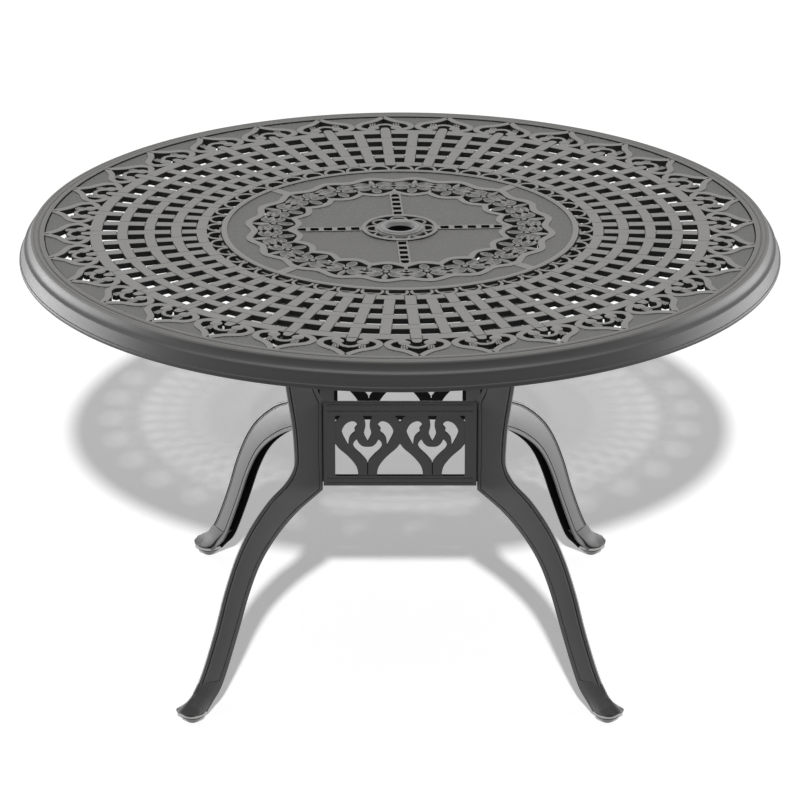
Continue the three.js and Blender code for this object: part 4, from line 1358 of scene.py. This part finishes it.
def glide_profile():
    """Half a cut through a glide: a sole, a cone that widens upwards and a stem."""
    sole = 8 * MM
    radius = 18.5 * MM
    top = GLIDE_HEIGHT - SEAM
    stem = 4 * MM
    return [(0.1 * MM, 0), (sole - 0.5 * MM, 0), (sole, 0.4 * MM), (radius * 0.66, top * 0.34),
            (radius * 0.93, top * 0.82), (radius, top - 0.9 * MM), (radius, top - 0.3 * MM),
            (radius - 0.4 * MM, top), (stem, top), (stem, top + 16.4 * MM), (stem * 0.7, top + 17 * MM),
            (0.1 * MM, top + 17 * MM)]


def bolt(casting, radius, head, head_height, reach):
    """A hexagon head with a chamfered crown, and a shank with a pointed end."""
    sides = sizes().bolt_sides

    def ring(size, height, count):
        angles = [2 * math.pi * i / count for i in range(count)]
        return [(size * math.cos(a), size * math.sin(a), height) for a in angles]

    casting.sweep([ring(head * 0.84, -head_height, sides), ring(head, -head_height + 0.16 * head, sides),
                   ring(head, -0.3 * MM, sides), ring(head * 0.95, 0, sides)])
    casting.sweep([ring(radius, -head_height / 2, 12), ring(radius, reach - radius / 3, 12),
                   ring(radius * 0.7, reach, 12)])


# Operators

class TABLE_OT_rim(bpy.types.Operator):
    """Builds the rolled rim of the top"""
    bl_idname = "table.rim"
    bl_label = "Rolled rim"

    def execute(self, context):
        paints = [rim_paint(), wall_shade_paint(), skirt_shade_paint()]
        # The rim's inner wall gets the near-black wall paint and its lower skirt the darker skirt paint:
        # painted shade on the one rolled rim.
        rim = walls_marked(cast("rim", Casting.turned, rim_profile(), 320), 1, field_radius() + 0.5 * MM)
        for polygon in rim.polygons:
            middle = polygon.center
            if middle.xy.length > field_radius() + SKIRT_SHADE_START and middle.z < face() - SKIRT_SHADE_DROP:
                polygon.material_index = 2
        finished("rolled_rim", rim, paints, ["top_rim"], "rim", sharp=math.radians(40))
        return {"FINISHED"}


class TABLE_OT_openwork(bpy.types.Operator):
    """Builds the four woven quarters of the top"""
    bl_idname = "table.openwork"
    bl_label = "Openwork quarters"

    def execute(self, context):
        paints = [strip_paint(), shaded_ground_paint(), wall_shade_paint()]
        # Upright walls of the openings get the near-black wall paint: painted shade.
        quarter = walls_marked(openwork_mesh(*paints[:2]), WALL)
        finished_four("openwork", "lattice", QUARTERS, quarter, paints, "casting", turn=sizes().pattern_turn)
        return {"FINISHED"}


class TABLE_OT_middle(bpy.types.Operator):
    """Builds the round middle casting with its flowers, slots and hub"""
    bl_idname = "table.middle"
    bl_label = "Middle casting"

    def execute(self, context):
        paints = [strip_paint(), shaded_ground_paint(), wall_shade_paint()]
        turn = Matrix.Rotation(sizes().pattern_turn, 4, "Z")
        # Upright walls of the openings get the near-black wall paint: painted shade.
        casting = walls_marked(moved(middle_mesh(paints[0]), turn), WALL)
        finished("middle_casting", casting, paints, ["medallion"], "casting")
        return {"FINISHED"}


class TABLE_OT_collar(bpy.types.Operator):
    """Builds the collar for the umbrella pole"""
    bl_idname = "table.collar"
    bl_label = "Umbrella collar"

    def execute(self, context):
        collar = cast("collar", Casting.turned, collar_profile(), 96)
        # The throat's wall gets the near-black hollow paint: painted shade inside the pole hole.
        walls_marked(collar, 1, sizes().pole_radius + 0.2 * MM)
        finished("pole_collar", collar, [collar_finish(), hollow_shade_paint()], ["umbrella_collar"], "collar")
        return {"FINISHED"}


class TABLE_OT_legs(bpy.types.Operator):
    """Builds the four legs"""
    bl_idname = "table.legs"
    bl_label = "Legs"

    def execute(self, context):
        paints = [base_paint(), hollow_shade_paint(), wall_shade_paint(), edge_highlight_paint(), steel(), foot_paint()]
        leg = cast("leg", whole_leg)
        finished_four("cast_leg", "leg", CORNERS, leg, paints, "base", sharp=math.radians(32))
        return {"FINISHED"}


class TABLE_OT_aprons(bpy.types.Operator):
    """Builds the four pierced aprons"""
    bl_idname = "table.aprons"
    bl_label = "Aprons"

    def execute(self, context):
        whole = joined([apron_mesh(), apron_lug(1), apron_lug(-1)])
        finished_four("heart_apron", "apron", SIDES, whole, [base_paint(), wall_shade_paint()], "base", shift=0)
        return {"FINISHED"}


class TABLE_OT_braces(bpy.types.Operator):
    """Builds the plates across the inner corners"""
    bl_idname = "table.braces"
    bl_label = "Corner braces"

    def execute(self, context):
        finished_four("corner_brace", "brace", CORNERS, brace_mesh(), [base_paint()], "base")
        return {"FINISHED"}


class TABLE_OT_glides(bpy.types.Operator):
    """Builds the four levelling glides"""
    bl_idname = "table.glides"
    bl_label = "Levelling glides"

    def execute(self, context):
        for name in CORNERS:
            low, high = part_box(f"glide_{name}")
            glide = cast("glide", Casting.turned, glide_profile(), 40, (low + high) / 2)
            finished(f"levelling_glide_{name}", glide, [glide_plastic()], [f"glide_{name}"], "glide",
                     body=f"foot_glide_{name}")
        return {"FINISHED"}


class TABLE_OT_fasteners(bpy.types.Operator):
    """Builds the bolts of the corners and flanges and the screws of the castings"""
    bl_idname = "table.fasteners"
    bl_label = "Bolts and screws"

    def execute(self, context):
        self.corner_bolts()
        self.top_bolts()
        self.casting_screws()
        return {"FINISHED"}

    def four_groups(self, name, mesh, spots, first, nodes):
        """One piece of the same fasteners at some spots, four times round the middle."""
        group = joined([moved(mesh, Matrix.Translation(spot)) for spot in spots])
        finished(name, around(group, 4, math.pi / 2, first, steel()), [steel()], nodes, "hardware")

    def corner_bolts(self):
        seat = brace_face() - BRACE_THICKNESS - SEAM
        mesh = cast("bolt", bolt, 3 * MM, 5.8 * MM, 4.2 * MM, post_inner() + 18 * MM - seat)
        flat = moved(mesh, Matrix.Rotation(math.pi / 2, 4, "Y"))
        spots = [(seat, 0, height) for height in bolt_heights()]
        nodes = [f"corner_bolt_{corner}_{row}" for corner in CORNERS for row in ("lower", "upper")]
        self.four_groups("corner_bolts", flat, spots, math.pi / 4, nodes)

    def top_bolts(self):
        seat = leg_high.z - FLANGE_THICKNESS - SEAM
        reach = underside() - PAD_THICKNESS + 10 * MM - seat
        mesh = cast("bolt", bolt, 4 * MM, 7.5 * MM, 5.3 * MM, reach)
        spots = [(flange_middle(), y * MM, seat) for y in (-22, 22)]
        nodes = [f"top_bolt_{corner}_{row}" for corner in CORNERS for row in "ab"]
        self.four_groups("flange_bolts", mesh, spots, math.pi / 4, nodes)

    def casting_screws(self):
        seat = underside() - SEAM - LEDGE_THICKNESS - SEAM
        mesh = cast("screw", bolt, 2 * MM, 4 * MM, 2.4 * MM, underside() + 5 * MM - seat)
        motif = 2 * math.pi / MOTIFS
        outer = field_radius() - 5 * MM
        spots = [(-r * math.sin(a), r * math.cos(a), seat) for r, a in (
            (outer, 2.5 * motif), (outer, 5.5 * motif), (middle_radius() + 4.5 * MM, math.pi / 4))]
        nodes = [f"casting_screw_{quarter}_{n}" for quarter in QUARTERS for n in (1, 2, 3)]
        self.four_groups("casting_screws", mesh, spots, math.pi / 4 + sizes().pattern_turn, nodes)


# Stage

def camera_share(tree):
    """A factor that is 1 for rays that come straight, by reflection or by refraction from the camera."""
    path = add_node(tree, "ShaderNodeLightPath").outputs
    share = math_node(tree, "MAXIMUM", path["Is Camera Ray"], path["Is Glossy Ray"])
    return math_node(tree, "MAXIMUM", share, path["Is Transmission Ray"])


def studio_world():
    """Soft white light that looks pure white to the eye."""
    world = bpy.data.worlds.new("Studio")
    world.use_nodes = True
    tree = world.node_tree
    strength = add_node(tree, "ShaderNodeMapRange", {
        "To Min": 0.20, "To Max": 1, "Value": camera_share(tree)})
    feed(tree, tree.nodes["Background"], {"Color": (1, 1, 1, 1), "Strength": strength.outputs["Result"]})
    bpy.context.scene.world = world


def floor_finish():
    """Pale floor: white to the eye, with the shadow kept, and a plain grey to soft light."""
    material = bpy.data.materials.new("Pale floor")
    material.use_nodes = True
    tree = material.node_tree
    tree.nodes.remove(tree.nodes["Principled BSDF"])
    pale = add_node(tree, "ShaderNodeBsdfDiffuse", {"Color": (0.9, 0.9, 0.9, 1)})
    lift = add_node(tree, "ShaderNodeEmission", {"Strength": 0.30})
    both = add_node(tree, "ShaderNodeAddShader", {0: pale.outputs[0], 1: lift.outputs[0]})
    plain = add_node(tree, "ShaderNodeBsdfDiffuse", {"Color": (0.22, 0.22, 0.22, 1)})
    mix = add_node(tree, "ShaderNodeMixShader", {
        "Fac": camera_share(tree), 1: plain.outputs[0], 2: both.outputs[0]})
    feed(tree, tree.nodes["Material Output"], {"Surface": mix.outputs[0]})
    return material


def add_lamp(name, kind, energy, location, rotation, **values):
    lamp = bpy.data.lights.new(name, kind)
    lamp.energy = energy
    for key, value in values.items():
        setattr(lamp, key, value)
    lamp_object = bpy.data.objects.new(name, lamp)
    lamp_object.location = location
    lamp_object.rotation_euler = rotation
    bpy.context.scene.collection.objects.link(lamp_object)
    return lamp_object


def lit_only(lamp, name, members):
    """Limits what a lamp lights to some objects; everything still casts its shadow."""
    group = bpy.data.collections.new(name)
    for member in members:
        group.objects.link(member)
    lamp.light_linking.receiver_collection = group


class TABLE_OT_stage(bpy.types.Operator):
    """Builds the floor, the studio light and the camera"""
    bl_idname = "table.stage"
    bl_label = "Stage"

    def execute(self, context):
        scene = context.scene
        floor = self.add_floor(scene)
        studio_world()
        sun = add_lamp("Low key", "SUN", 3.4, (0, -4, 3), (math.radians(54), 0, 0), angle=math.radians(2.2))
        lit_only(sun, "Floor", [floor])
        above = add_lamp("Overhead", "AREA", 72, (0, -0.4, 3.4), (0, 0, 0), shape="DISK", size=2.6)
        pieces = [o for o in scene.objects if o.type == "MESH" and o is not floor]
        lit_only(above, "Table", pieces)
        legs = [piece for piece in pieces if piece.name.startswith("cast_leg")]
        for name, side, energy, lit in (
                ("Left", -1, 112, pieces), ("Right", 1, 84, pieces),
                ("Left leg", -1, 70, legs), ("Right leg", 1, 74, legs)):
            beside = add_lamp(
                f"{name} soft box", "AREA", energy, (side * 3, 1.05, 0.6), (0, side * math.radians(90), 0),
                shape="RECTANGLE", size=1.3, size_y=3.2)
            lit_only(beside, f"{name} side", lit)
        self.add_camera(scene)
        scene.view_settings.view_transform = "Standard"
        return {"FINISHED"}

    def add_floor(self, scene):
        half = 20
        mesh = bpy.data.meshes.new("floor")
        mesh.from_pydata([(-half, -half, 0), (half, -half, 0), (half, half, 0), (-half, half, 0)], [],
                         [(0, 1, 2, 3)])
        mesh.materials.append(floor_finish())
        floor = bpy.data.objects.new("pale_floor", mesh)
        scene.collection.objects.link(floor)
        return floor

    def add_camera(self, scene):
        camera = bpy.data.cameras.new("Camera")
        camera.lens = 199.8
        camera.sensor_width = 36
        camera.clip_end = 200
        camera_object = bpy.data.objects.new("Camera", camera)
        camera_object.location = (0, -6.603, 3.061)
        camera_object.rotation_euler = (math.radians(68.14), 0, 0)
        scene.collection.objects.link(camera_object)
        scene.camera = camera_object


class TABLE_PT_panel(bpy.types.Panel):
    """Shows the sizes, the finishes and the pieces of the table in the sidebar"""
    bl_idname = "TABLE_PT_panel"
    bl_label = "Umbrella table"
    bl_space_type = "VIEW_3D"
    bl_region_type = "UI"
    bl_category = "Table"

    def draw(self, context):
        for group in (context.scene.table_sizes, context.scene.table_finishes):
            for name in group.__annotations__:
                self.layout.prop(group, name)
        for operator in OPERATORS:
            self.layout.operator(operator.bl_idname)


OPERATORS = [
    TABLE_OT_rim, TABLE_OT_openwork, TABLE_OT_middle, TABLE_OT_collar, TABLE_OT_legs, TABLE_OT_aprons,
    TABLE_OT_braces, TABLE_OT_glides, TABLE_OT_fasteners, TABLE_OT_stage,
]
CLASSES = [TableSizes, TableFinishes, *OPERATORS, TABLE_PT_panel]


def register():
    for item in CLASSES:
        bpy.utils.register_class(item)
    bpy.types.Scene.table_sizes = PointerProperty(type=TableSizes)
    bpy.types.Scene.table_finishes = PointerProperty(type=TableFinishes)


def unregister():
    del bpy.types.Scene.table_finishes
    del bpy.types.Scene.table_sizes
    for item in reversed(CLASSES):
        bpy.utils.unregister_class(item)


def main():
    register()
    bpy.ops.table.rim()
    bpy.ops.table.openwork()
    bpy.ops.table.middle()
    bpy.ops.table.collar()
    bpy.ops.table.legs()
    bpy.ops.table.aprons()
    bpy.ops.table.braces()
    bpy.ops.table.glides()
    bpy.ops.table.fasteners()
    bpy.ops.table.stage()


if __name__ == "__main__":
    main()
